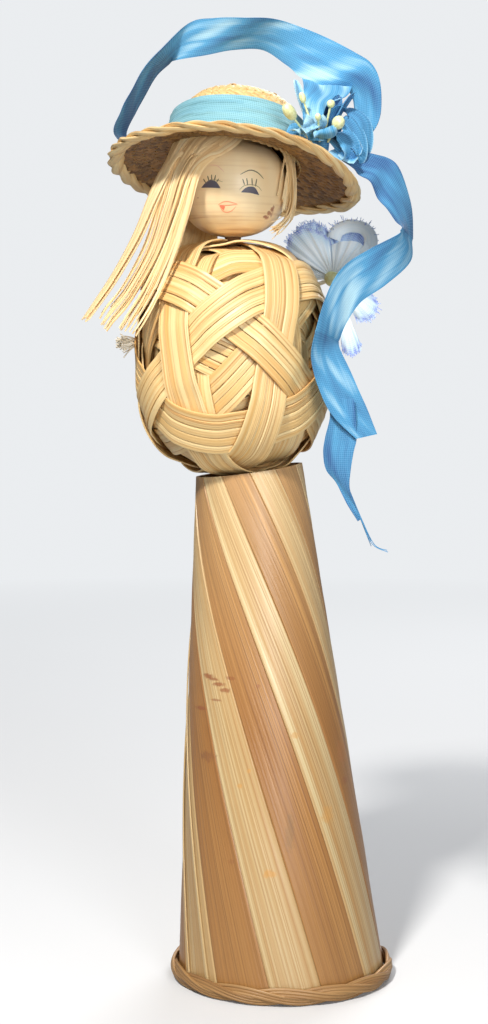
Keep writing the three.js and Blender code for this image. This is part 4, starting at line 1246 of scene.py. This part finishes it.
def lay_cloth(parts, middle, up, height, thickness, across, along, tone):
    """Raise a grid by its creases and close it into cloth. Returns its length."""
    middle = middle + up[:, None] * height[..., None]
    skin = up[:, None] * thickness / 2
    shell(parts, middle + skin, middle - skin, across, along, tone=np.clip(tone, 0, 1))
    return float(along[-1, 0])


def ribbon(parts, rows, steps, number, cup, edge_tone):
    """Rows are place, direction across, width and tone. Cup is how far the middle bows up."""
    rows = np.asarray(rows, float)
    rows[:, 3:6] = unit(rows[:, 3:6])
    line = smooth_through(rows, steps)
    path = line[:, :3]
    ahead = ahead_along(path)
    across = unit(line[:, 3:6] - ahead * np.sum(line[:, 3:6] * ahead, axis=1, keepdims=True))
    width, tone = line[:, 6:7], np.clip(line[:, 7:8], 0, 1)
    share = np.linspace(-1, 1, 11)[None, :]
    along = lengths_along(path)[:, None]
    height = creases(number, share / 2, along, 0.1, ((1.3, 17), (2.4, 11), (3.8, 23)), 0)
    height = height + cup * (1 - share**2) * width / RIBBON_WIDTH
    middle = path[:, None] + across[:, None] * (share * width / 2)[..., None]
    return lay_cloth(parts, middle, np.cross(ahead, across), height, 0.14, share * width / 2, along,
                     tone + edge_tone * np.abs(share) ** 3)


def ribbon_between(parts, rows, steps, ripple, number, columns=15):
    """Rows are a place on one edge, a place on the other edge, both from the seat, and tone."""
    line = smooth_through([[*one, *other, tone] for one, other, tone in rows], steps)
    one, other, tone = line[:, :3] + seat, line[:, 3:6] + seat, np.clip(line[:, 6:], 0, 1)
    share = np.linspace(0, 1, columns)[None, :]
    path = (one + other) / 2
    along = lengths_along(path)[:, None]
    height = creases(number, share, along, ripple, ((0.6, 17), (1.2, 11), (2.1, 23), (3.4, 9)), 0.3)
    middle = one[:, None] * (1 - share)[..., None] + other[:, None] * share[..., None]
    up = unit(np.cross(np.gradient(path, axis=0), other - one))
    breadth = np.linalg.norm(other - one, axis=1)[:, None]
    # Painted light: crests of the creases paler and hollows darker. The outer tenth of each edge is darker.
    shade = tone + 0.12 * height / max(ripple, 0.01) - 0.12 * (np.abs(2 * share - 1) > 0.9)
    return lay_cloth(parts, middle, up, height, 0.12, (share - 0.5) * breadth, along, shade)


# %% [markdown]
# The band is one turn of ribbon round the crown, in soft pleats. It follows the hat's own form.

# %% Band round the crown
TOWARDS_VIEWER = [0.1, -1.0, 0.1]
THREAD_THICKNESS = 0.16
BAND_FOOT, BAND_WIDTH = 1.2, 9.0
BAND_THICKNESS = 0.16
# Each pleat round the band: height, folds across, how far it wanders, how often, from where
PLEATS = [(0.16, 3, 0.35, 2, 0.4), (0.1, 6.3, 0.3, 3, 2), (0.06, 11, 0.2, 5, 0)]
parts = Parts()
angle = ring_angles(240)[:, None]
share = np.linspace(0, 1, 27)[None, :]
height = BAND_FOOT + BAND_WIDTH * share
crown = CROWN_RADIUS - 0.9 / 8.5 * (height - 1) + 0.45 + 2.3 * np.maximum(-np.sin(angle + 0.3), 0) ** 5
pleated = crown + sum(fold * np.sin(2 * np.pi * (folds * share + wander * np.sin(often * angle + start)))
                      for fold, folds, wander, often, start in PLEATS)
top, bottom = on_hat(pleated + BAND_THICKNESS, angle, height), on_hat(pleated, angle, height)
band_length = 2 * math.pi * (CROWN_RADIUS + 0.3)
shell(parts, top, bottom, height, angle * (CROWN_RADIUS + 0.3), joined=True, turned_v=band_length,
      tone=0.55 + 0.25 * np.sin(angle - 0.4) * np.ones_like(share))
piece = make_piece("crown_ribbon", parts, band_blue, "head", ["hat_ribbon_band"])

# %% [markdown]
# The arch leaves the band at the back, stands up over the hat, turns over twice and comes down
# into the flower. Its edges were placed over the photograph.

# %% Arch over the hat
parts = Parts()
# The last number of each row is the cloth's tone: partly its dye, partly painted light.
arch_length = ribbon_between(parts, [
    ((-8.5, 17.0, 0.4), (-9.0, 16.6, 7.0), 0.1), ((-19.0, 15.2, 1.2), (-17.6, 16.0, 6.4), 0.08),
    ((-27.9, 8.2, 6.3), (-25.7, 15.8, 7.0), 0.08), ((-26.2, 4.6, 11.7), (-23.1, 13.4, 12.6), 0.1),
    ((-23.9, 2.7, 16.0), (-20.6, 11.3, 16.8), 0.12), ((-21.0, 0.6, 20.3), (-17.8, 9.4, 21.0), 0.14),
    ((-17.1, -0.8, 24.7), (-15.1, 7.8, 23.1), 0.3), ((-10.1, 0.4, 31.3), (-13.1, 3.6, 23.3), 0.55),
    ((-4.0, -0.8, 32.2), (-6.4, 2.8, 24.3), 0.6), ((2.4, -2.8, 31.9), (0.2, 2.8, 25.5), 0.62),
    ((8.7, -2.9, 31.8), (6.9, 2.9, 25.5), 0.55), ((15.7, -1.6, 30.0), (12.7, 0.6, 21.5), 0.62),
    ((21.9, -1.0, 27.6), (16.0, -1.0, 18.5), 0.66), ((27.7, -1.2, 24.6), (21.6, -1.2, 16.2), 0.6),
    ((31.8, -3.6, 21.5), (26.2, 0.6, 16.0), 0.4), ((33.9, -4.0, 17.1), (27.8, 0.4, 14.1), 0.42),
    ((34.3, -4.0, 11.6), (28.3, 0.0, 10.8), 0.45), ((33.4, -3.9, 7.6), (28.9, -0.5, 7.1), 0.5),
    ((31.1, -3.4, 4.2), (29.8, -1.4, 4.7), 0.5),
], 190, ripple=0.07, number=1)
piece = make_piece("arch_ribbon", parts, blue, "head", ["ribbon_arch"])

# %% [markdown]
# From the flower the tail swings out over the brim, folds back and falls past the bodice.

# %% Tail
parts = Parts()
# The last number of each row is the cloth's tone: partly its dye, partly painted light.
tail_length = ribbon_between(parts, [
    ((24.0, -9.2, 1.6), (25.0, -9.8, -1.6), 0.1), ((28.6, -8.0, 1.0), (27.6, -9.6, -3.2), 0.08),
    ((32.3, -6.8, 0.4), (28.8, -10.2, -4.7), 0.1), ((35.6, -5.9, -0.4), (31.3, -11.3, -6.4), 0.14),
    ((37.9, -6.3, -2.3), (33.0, -10.3, -9.9), 0.22), ((40.1, -4.7, -6.7), (35.0, -11.3, -12.3), 0.34),
    ((41.4, -3.7, -11.6), (37.0, -11.9, -15.3), 0.34), ((41.7, -3.6, -18.0), (38.5, -12.4, -16.6), 0.2),
    ((41.5, -4.0, -19.4), (38.2, -12.5, -17.4), 0.5), ((41.0, -5.3, -24.1), (37.6, -11.7, -18.3), 0.6),
    ((35.1, -8.9, -29.6), (31.2, -12.1, -21.6), 0.55),
    ((29.0, -11.8, -33.8), (24.7, -15.2, -26.1), 0.78), ((25.6, -14.4, -39.0), (20.8, -18.4, -33.0), 0.74),
    ((24.3, -13.8, -42.0), (18.9, -20.9, -39.6), 0.6), ((24.1, -13.7, -42.9), (18.6, -21.4, -40.8), 0.35),
    ((24.7, -14.8, -45.0), (17.6, -21.4, -46.2), 0.55),
    ((27.6, -15.9, -51.3), (19.0, -20.3, -52.2), 0.62), ((30.3, -15.6, -57.4), (22.2, -19.6, -58.9), 0.55),
    ((32.9, -15.3, -63.6), (27.9, -18.3, -64.6), 0.5),
], 190, ripple=0.06, number=2)
piece = make_piece("tail_ribbon", parts, blue, "head", ["ribbon_tail"])

# %% [markdown]
# Below the tail hangs a narrow torn strip, which frays into a few loose threads.

# %% Torn strip
parts = Parts()
strip_length = ribbon_between(parts, [
    ((27.4, -17.6, -55.5), (21.4, -18.6, -55.5), 0.5), ((27.8, -18.0, -59.5), (22.0, -17.6, -59.6), 0.42),
    ((28.1, -17.6, -64.4), (21.0, -16.4, -64.3), 0.36), ((27.4, -17.4, -67.7), (20.6, -15.8, -67.9), 0.34),
    ((26.8, -17.0, -71.6), (21.3, -15.4, -71.8), 0.32), ((26.6, -16.4, -75.7), (23.6, -15.2, -74.8), 0.3),
    ((27.8, -15.8, -79.2), (26.3, -15.0, -79.8), 0.25), ((29.4, -15.5, -82.9), (28.6, -14.9, -83.5), 0.25),
], 70, ripple=0.08, number=3, columns=9)
loose = np.random.default_rng(33)
for k in range(5):
    way = seat + np.array([[26.4, -15.6, -75.8], [29.2, -15.2, -83.2],
                           [31.7, -15, -88.7], [35.2, -15, -90.3]])
    way = way[:3 + k % 2] + loose.normal(0, 0.25, (3 + k % 2, 3)) * [[0], [1], [1.5], [2]][:3 + k % 2]
    line = smooth_through(way, 16)
    strand(parts, line, TOWARDS_VIEWER, THREAD_THICKNESS, THREAD_THICKNESS, 3, tone=0.4)
piece = make_piece("torn_strip", parts, blue, "head", ["ribbon_strip"])

# %% [markdown]
# ## Flower on the brim
# The flower grows out of a knot of gathered ribbon on the brim: a lathed form with folds.

# %% Knot
KNOT_FOOT, KNOT_HEIGHT, KNOT_RADIUS = 5.9, 6.8, 2.3
knot_distance = CROWN_RADIUS + 6.33
knot_angle = math.radians(67.5)
knot = np.array([knot_distance * math.sin(knot_angle), -knot_distance * math.cos(knot_angle), 0]) + head
parts = Parts()
angle = ring_angles(64)[:, None]
share = np.linspace(0, 1, 15)[None, :]
girth = np.interp(share, [0, 0.6, 0.9, 1], [1.7, KNOT_RADIUS, 1.7, 0.1])
folds = girth * (1 + 0.16 * np.sin(7 * angle + 2 * share) + 0.07 * np.sin(13 * angle))
rise = KNOT_FOOT + KNOT_HEIGHT * share + 0 * angle
fold_out, fold_in = (around(radius, angle, rise) + knot for radius in (folds, 0.02))
shell(parts, fold_out, fold_in, angle * KNOT_RADIUS, rise, joined=True, tone=0.3)
make_piece("knot", parts, blue, "head", ["flower_knot"])

# %% [markdown]
# Petals of the same ribbon stand up from the knot. Each is a short ribbon that bows out and ends
# at its tip. Three loops leave the knot, turn and come back to it.

# %% Petals and loops
parts = Parts()
# Each petal: tip, direction across, width, tone, how far it bows forward
PETALS = [
    ([14.4, -6.5, 17.2], [0.6, 0.8, 0], 3.2, 0.72, 0.8), ([22.8, -1.6, 14.4], [1, 0.2, 0], 4.6, 0.1, 0.8),
    ([28, -5.5, 14.2], [0.3, 0.9, 0.2], 4, 0.1, 0.8), ([28.0, -11.0, -1.6], [0.9, 0, 0.5], 4.2, 0.2, 0.8),
    ([12.2, -11, 4.2], [0.2, 0.3, 0.9], 4.2, 0.35, 0.8),
    ([24.6, -6.2, 13.6], [0.8, 0.6, 0.1], 3.2, 0.04, 0.8),
    ([17.8, -5.0, 14.8], [0.8, -0.5, 0], 3.4, 0.4, 0.8),
    ([14.8, -12.6, 5.8], [0.9, 0.3, 0.4], 5.4, 0.85, 2.6),
    ([18.0, -13.4, 5.6], [1, 0.1, 0.2], 6.6, 0.8, 2.6), ([21.0, -13.2, 3.6], [0.9, -0.3, 0.1], 5.6, 0.6, 2.6),
]
# Each loop leaves the knot, turns and comes back to it
LOOPS = [
    [[22.4, -9.0, 5.2], [25.4, -8.8, 7.6], [28.2, -9.0, 4.0], [28.0, -10.4, -0.6], [24.8, -10.4, 1.0]],
    [[22.2, -9.8, 3.6], [24.8, -11.0, 4.4], [26.8, -11.4, 1.6], [26.0, -11.2, -0.6], [23.4, -10.2, 1.4]],
    [[22.0, -8.0, 6.0], [25.6, -6.2, 9.8], [29.6, -6.4, 7.4], [29.4, -7.6, 1.6], [25.2, -8.8, 1.4]],
]
core = knot + np.array([0, 0, KNOT_FOOT + KNOT_HEIGHT * 0.7])
petals_length = 0.0
for number, (tip, across, width, tone, bow) in enumerate(PETALS):
    tip = seat + np.array(tip)
    way = tip - core
    step_out = (KNOT_RADIUS - 0.2) / math.hypot(way[0], way[1])
    root = core + way * [step_out, step_out, 0.1 * step_out]
    bulge = np.array([0, -bow, 0.6])
    stations = [(root, 1.3), (root + (tip - root) * 0.35 + bulge, width * 0.75),
                (root + (tip - root) * 0.72 + bulge, width), (tip, width * (0.85 if bow > 1 else 0.3))]
    petals_length += ribbon(parts, [[*at, *across, w, tone] for at, w in stations], 30,
                            number=20 + number, cup=1.1, edge_tone=0.3)
for number, places in enumerate(LOOPS):
    rows = [[*(seat + np.array(at)), 0.75, 0.6, 0.25, 5.6, 0.15 + 0.12 * k] for k, at in enumerate(places)]
    petals_length += ribbon(parts, rows, 40, number=40 + number, cup=0.5, edge_tone=0.4)
piece = make_piece("flower_petals", parts, blue, "head",
                   [f"flower_petal_{i + 1}" for i in range(5)])

# %% [markdown]
# A stamen is a stiff thread that ends in a swollen, speckled bud. Five of them lean out to the
# front of the flower.

# %% Stamens
bud_finish, graph, shader = new_finish("bud", Specular_IOR_Level=0.5, Coat_Weight=0.25)
speckle = graph.noise(graph.object_place(), 1500.0, 3.0, 0.6)
speckled = graph.blend(graph.span(speckle, 0.4, 0.7), tint(240, 246, 196), tint(222, 222, 150))
graph.join(speckled, shader["Base Color"])
graph.join(graph.span(speckle, 0, 1, 0.3, 0.45), shader["Roughness"])


def bud_shape(parts, middle, way, half_length, radius, facing, columns):
    """A swollen form that closes at both ends, along its way."""
    turn = np.linspace(-math.pi / 2, math.pi / 2, 21)
    path = middle + way * (half_length * np.sin(turn))[:, None]
    girth = 2 * radius * np.maximum(np.cos(turn), 0.03) ** 0.8
    strand(parts, path, facing, girth, girth, columns, rounded=True)


STAMEN_FACING = [0.0, -1.0, 0.2]
# Each stamen: place of its bud, the bud's radius and half length
STAMENS = [
    ([12.8, -16.5, 8.6], 1.35, 2.3), ([15.8, -13.5, 12.2], 0.75, 1.3), ([19.2, -15.8, 7.6], 0.7, 0.9),
    ([22.2, -13.8, 10.8], 0.9, 0.9), ([23.8, -15.2, 6.4], 1.45, 1.6),
]
for i, (bud, radius, half_length) in enumerate(STAMENS):
    bud = seat + np.array(bud)
    angle = math.radians(-150 + 120 * (i + 0.5) / 5)
    root = knot + np.array([2.6 * math.cos(angle), 2.6 * math.sin(angle),
                            KNOT_FOOT + KNOT_HEIGHT * (0.72 if i % 2 else 0.5)])
    way = unit(bud - root)
    parts = Parts()
    stem = np.linspace(root, bud - way * half_length, 12)
    strand(parts, stem, STAMEN_FACING, 0.5, 0.5, 7, rounded=True)
    bud_shape(parts, bud, way, half_length, radius, STAMEN_FACING, 11)
    make_piece(f"stamen_{i + 1}", parts, bud_finish, "head", [f"flower_stamen_{i + 1}"], crease=80)

# %% [markdown]
# A broad end of ribbon also fans down from the arch into the knot.

# %% Fan of ribbon
parts = Parts()
fan_length = ribbon_between(parts, [
    ((28.1, 1.0, 22.4), (15.8, 1.0, 25.6), 0.62), ((27.8, 0.6, 17.3), (16.0, 0.6, 20.0), 0.72),
    ((26.1, -5.0, 13.8), (16.3, -4.4, 15.9), 0.6), ((21.6, -9.6, 11.2), (16.0, -9.0, 12.3), 0.7),
    ((20.4, -12.4, 6.8), (16.0, -12.0, 7.2), 0.72), ((20.8, -12.6, 2.6), (17.2, -12.4, 2.8), 0.5),
], 70, ripple=0.16, number=5, columns=21)
piece = make_piece("fan_ribbon", parts, blue, "head")

# %% [markdown]
# ## Satin flower
# Behind the shoulder sits a rosette of white satin with blue frayed edges. Its petals are broad
# gathered loops: fine ripples run out from the middle, the cloth turns blue towards the rim, and
# loose threads stand off it. One petal is rolled over into a hoop.

# %% Gathered satin
SATIN_STAND_OFF = 2.39
SATIN_HEIGHT = 19
SATIN_ROWS, SATIN_COLUMNS = 26, 61
SATIN_SKIN = np.array([0, 0.06, 0])
RIM_THREADS = 110
HOOP_THREADS = 90
satin_angle = math.radians(111.8)
satin = ball + around(BALL_REACH + SATIN_STAND_OFF, satin_angle, SATIN_HEIGHT)
chance = np.random.default_rng(31)


def fray(fringe, start, lean, first, last, thickness, tone):
    """A loose thread that leans out from the cloth, between two shares of its lean."""
    path = np.linspace(start + first * lean, start + last * lean, 4)
    strand(fringe, path, TOWARDS_VIEWER, thickness, thickness, 3, tone=tone)


def gathered(parts, fringe, rim, gathers, depth=1.4, frayed=True, shade=0.9):
    """Cloth that opens in ripples up to a rim, whose places are from the flower's middle."""
    rim = smooth_through(rim, SATIN_COLUMNS)[None, :] + satin
    root = satin + 0.12 * (rim - satin)
    share = np.linspace(0, 1, SATIN_ROWS)[:, None]
    turn = np.linspace(0, 1, SATIN_COLUMNS)[None, :]
    middle = root + (rim - root) * share[..., None]
    ripple = np.sin(2 * np.pi * (gathers * turn + 0.15 * np.sin(5 * turn))) * (0.05 + 0.11 * share)
    fine = 0.04 * np.sin(2 * np.pi * gathers * 2.7 * turn) * share
    front = -depth * np.sin(np.pi * share) - ripple - fine
    middle = middle + np.array([0, 1.0, 0]) * front[..., None]
    # Painted light: the ripples' crests are paler and their hollows deeper.
    tone = shade + 0.2 * ripple
    if frayed:
        tone = tone - 0.3 * np.clip((share - 0.5) / 0.36, 0, 1) ** 2
        tone = tone - 0.6 * np.clip((share - 0.88) / 0.1, 0, 1) * (0.65 + 0.35 * np.sin(40 * turn))
    length = float(np.linalg.norm(rim - root, axis=-1).mean())
    shell(parts, middle - SATIN_SKIN, middle + SATIN_SKIN, turn * 14, share * length,
          tone=np.clip(tone, 0, 1))
    for _ in range(RIM_THREADS if frayed else 0):
        start = middle[-1, chance.integers(0, SATIN_COLUMNS)]
        lean = unit(start - satin) + chance.normal(0, 0.35, 3)
        fray(fringe, start, lean, -0.2, chance.uniform(0.2, 0.8), 0.13, chance.uniform(0, 0.45))
    return length


# %% [markdown]
# Seven petals and one hoop make the rosette. Their rims were placed over the photograph,
# and the loose threads are a piece of their own.

# %% Petals, hoop and fringe
parts, fringe = Parts(), Parts()
back_left = [(-9.6, 2.2, 7.6), (-8.6, 2.4, 11.6), (-5.6, 2.6, 13.4), (-2.4, 2.4, 12.6), (0.4, 2.0, 9.4)]
front_left = [(-10.6, 0.2, 6.0), (-10.6, -0.6, 9.4), (-7.6, -1.6, 11.6), (-4.6, -2.0, 11.4),
              (-2.0, -1.4, 10.2), (-0.4, 0.0, 8.2)]
ring_back = [(0.2, 3.2, 9.6), (1.4, 3.8, 12.6), (4.4, 4.2, 13.0), (7.2, 3.8, 12.0),
             (8.8, 2.8, 9.6), (8.0, 2.0, 6.0)]
ring_front = [(-0.4, -0.6, 7.8), (1.6, -1.6, 8.6), (4.4, -1.8, 8.8), (6.6, -1.4, 8.2),
              (7.6, -0.4, 6.4), (6.4, 0.6, 3.6)]
low_left = [(-11.0, 2.5, 6.5), (-11.8, 3.0, 4.0), (-9.8, 3.2, 1.5), (-5.5, 2.5, -0.5)]
low_right = [(7.6, 1.4, -2.6), (9.8, 0.6, -4.4), (10.6, 0.0, -7.4), (8.6, -0.4, -9.8), (5.6, 0.2, -9.6)]
low_middle = [(6.6, 0.6, -15.2), (6.2, 0.2, -17.2), (4.4, 0.0, -18.0), (2.6, 0.2, -17.0), (2.2, 0.6, -14.6)]
lengths = [
    gathered(parts, fringe, back_left, gathers=6, depth=-1.0),
    gathered(parts, fringe, front_left, gathers=6),
    gathered(parts, fringe, low_left, gathers=5, depth=0.6),
    # The back of the hoop gets a deeper tone as painted shade inside the hoop.
    gathered(parts, fringe, ring_back, gathers=6, depth=-2.2, shade=0.5),
    gathered(parts, fringe, ring_front, gathers=5, frayed=False),
    gathered(parts, fringe, low_right, gathers=5),
    gathered(parts, fringe, low_middle, gathers=4, depth=0.8),
]
hoop = smooth_through([(0.2, 0.8, 9.2), (1.2, 1.4, 11.4), (4.2, 1.8, 12.6), (7.4, 1.4, 12.0), (9.0, 0.4, 9.8),
                       (8.6, -0.6, 6.8), (7.0, -1.0, 7.6)], 60) + satin
strand(parts, hoop, [0.1, -1.0, 0.3], 3.3, 0.3, 9, dome=0.7, tone=0.92)
for _ in range(HOOP_THREADS):
    start = hoop[chance.integers(4, 54)]
    lean = unit((start - satin) * [1, 0, 1] - [4.4, 0, 9.0]) + chance.normal(0, 0.3, 3)
    fray(fringe, start, lean, 1.1, chance.uniform(1.4, 1.9), 0.14, chance.uniform(0, 0.4))
piece = make_piece("satin_petals", parts, satin_finish, "figure",
                   [f"satin_petal_{i + 1}" for i in range(5)])
make_piece("satin_fringe", fringe, satin_finish, "figure")

# %% Middle of the satin flower
parts = Parts()
bud_shape(parts, satin + [0, 0.2, 0], np.array([0, 1, 0]), 1.4, 2, [0.2, 0.0, 1.0], 13)
make_piece("satin_middle", parts, bud_finish, "figure", ["satin_flower_centre"], crease=80)

# %% [markdown]
# ## String
# A tuft of white string sticks out of the plait on the left. It is a handful of loose fibres.
# The satin flower hangs on a wire wound with the same thread.

# %% String
STRING_THICKNESS = 0.3
WIRE_THICKNESS = 1.0
TUFT_FIBRES = 55
string, graph, shader = new_finish("string", Specular_IOR_Level=0.2, Sheen_Weight=0.4)
weave = graph.group("Threads", {"Place": graph.strip_place(), "Pitch": 0.35, "Slant": 0.8})
graph.join(graph.blend(graph.carried("tone"), tint(244, 238, 222), tint(222, 208, 180)), shader["Base Color"])
graph.join(graph.span(weave["Height"], 0, 1, 0.75, 0.95), shader["Roughness"])
emboss(graph, shader, weave["Height"], 0.4, THREAD_RELIEF)

# %% Tuft
tuft = ball + np.array([-BALL_REACH - FIT_GAP, 0, 3.5])
parts = Parts()
chance = np.random.default_rng(41)
for _ in range(TUFT_FIBRES):
    start = tuft + [1.0, 0.5 + chance.normal(0, 0.4), chance.normal(0, 0.4)]
    reach = chance.uniform(2.0, 4.0)
    spread = chance.normal(0, 0.75, 2)
    end = tuft + [-reach, -0.6 + spread[0] * 1.3, spread[1] * 1.4]
    middle = (start + end) / 2 + chance.normal(0, 0.5, 3)
    path = smooth_through([start, middle, end], 10)
    strand(parts, path, [0.0, -1.0, 0.3], STRING_THICKNESS, STRING_THICKNESS, rounded=True,
           tone=chance.random())
make_piece("tuft", parts, string, "figure", ["string_tuft"])

# %% Wire
wire_angle, wire_rise = math.radians(128.5), math.radians(36.3)
on_ball = around(math.cos(wire_rise), wire_angle, math.sin(wire_rise) * BALL_STRETCH)
wire_end = ball + BALL_REACH * on_ball
path = smooth_through([satin + [0, 1.7, 0], satin + [-1, 3.2, -0.3], wire_end + [4, 1.8, 0.8], wire_end], 30)
parts = Parts()
strand(parts, path, [0.3, 0.2, 1.0], WIRE_THICKNESS, WIRE_THICKNESS, 9, rounded=True)
make_piece("wire", parts, string, "figure", ["satin_flower_wire"])

# %% [markdown]
# ## Solids that stay
# Some pieces can barely be seen: the cone under the strips, the plug and the dowel, and the cane
# hoop inside the foot. Their solids stay as they are and only get a finish. The dowel's dark
# finish is painted shade in the gap under the head.

# %% Finish the hidden solids
backing, graph, shader = new_finish("backing", Specular_IOR_Level=0.2)
flecks = graph.noise(graph.object_place(), 900.0, 4.0, 0.7)
graph.join(graph.blend(flecks, tint(120, 84, 52), tint(96, 64, 38)), shader["Base Color"])
graph.join(graph.span(flecks, 0, 1, 0.75, 0.95), shader["Roughness"])
# The dowel takes the dark backing finish as painted shade between the head and the bodice.
for node, finish in (("skirt_backing", backing), ("skirt_plug", wood), ("neck_dowel", backing),
                     ("hem_hoop_inner", backing)):
    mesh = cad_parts[node].data
    mesh.materials.clear()
    mesh.materials.append(finish)
    print(f"{node}: {finish.name}")

# %% [markdown]
# ## Floor
# A plain pale floor is all that the doll needs to stand on. It is part of the studio and not of
# the doll. The last step writes down the size of what now shows and closes the scene.

# %% Floor, size and finish
FLOOR_COLOUR = (0.80, 0.81, 0.82, 1)
FLOOR_CLOUD = (0.78, 0.79, 0.80, 1)
FLOOR_BOUNCE = (0.36, 0.37, 0.38, 1)
FLOOR_REACH = 40
corners = [(x * FLOOR_REACH, y * FLOOR_REACH, 0) for x, y in ((-1, -1), (1, -1), (1, 1), (-1, 1))]
floor_mesh = bpy.data.meshes.new("floor")
floor_mesh.from_pydata(corners, [], [(0, 1, 2, 3)])
floor = bpy.data.objects.new("floor", floor_mesh)
bpy.context.scene.collection.objects.link(floor)
floor_finish, graph, shader = new_finish("floor", Specular_IOR_Level=0.2, Roughness=0.9)
here = graph.object_place()
seen = graph.add("ShaderNodeLightPath").outputs["Is Camera Ray"]
pale_floor = graph.blend(graph.noise(here, 8.0), FLOOR_COLOUR, FLOOR_CLOUD)
graph.join(graph.blend(seen, FLOOR_BOUNCE, pale_floor), shader["Base Color"])
far = graph.times(seen, graph.span(graph.vector("LENGTH", here), 0.15, 0.9))
glow = graph.add("ShaderNodeEmission", {"Color": BACKDROP_COLOUR, "Strength": 1.0})
near = shader["Base Color"].node
surface = graph.add("ShaderNodeMixShader", {0: far, 1: near.outputs[0], 2: glow.outputs[0]})
end = [node for node in graph.tree.nodes if node.type == "OUTPUT_MATERIAL"][0]
graph.join(surface.outputs[0], end.inputs["Surface"])
floor_mesh.materials.append(floor_finish)
floor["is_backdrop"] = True

low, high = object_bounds()
print("box in mm:", [round(side / MM, 1) for side in high - low])
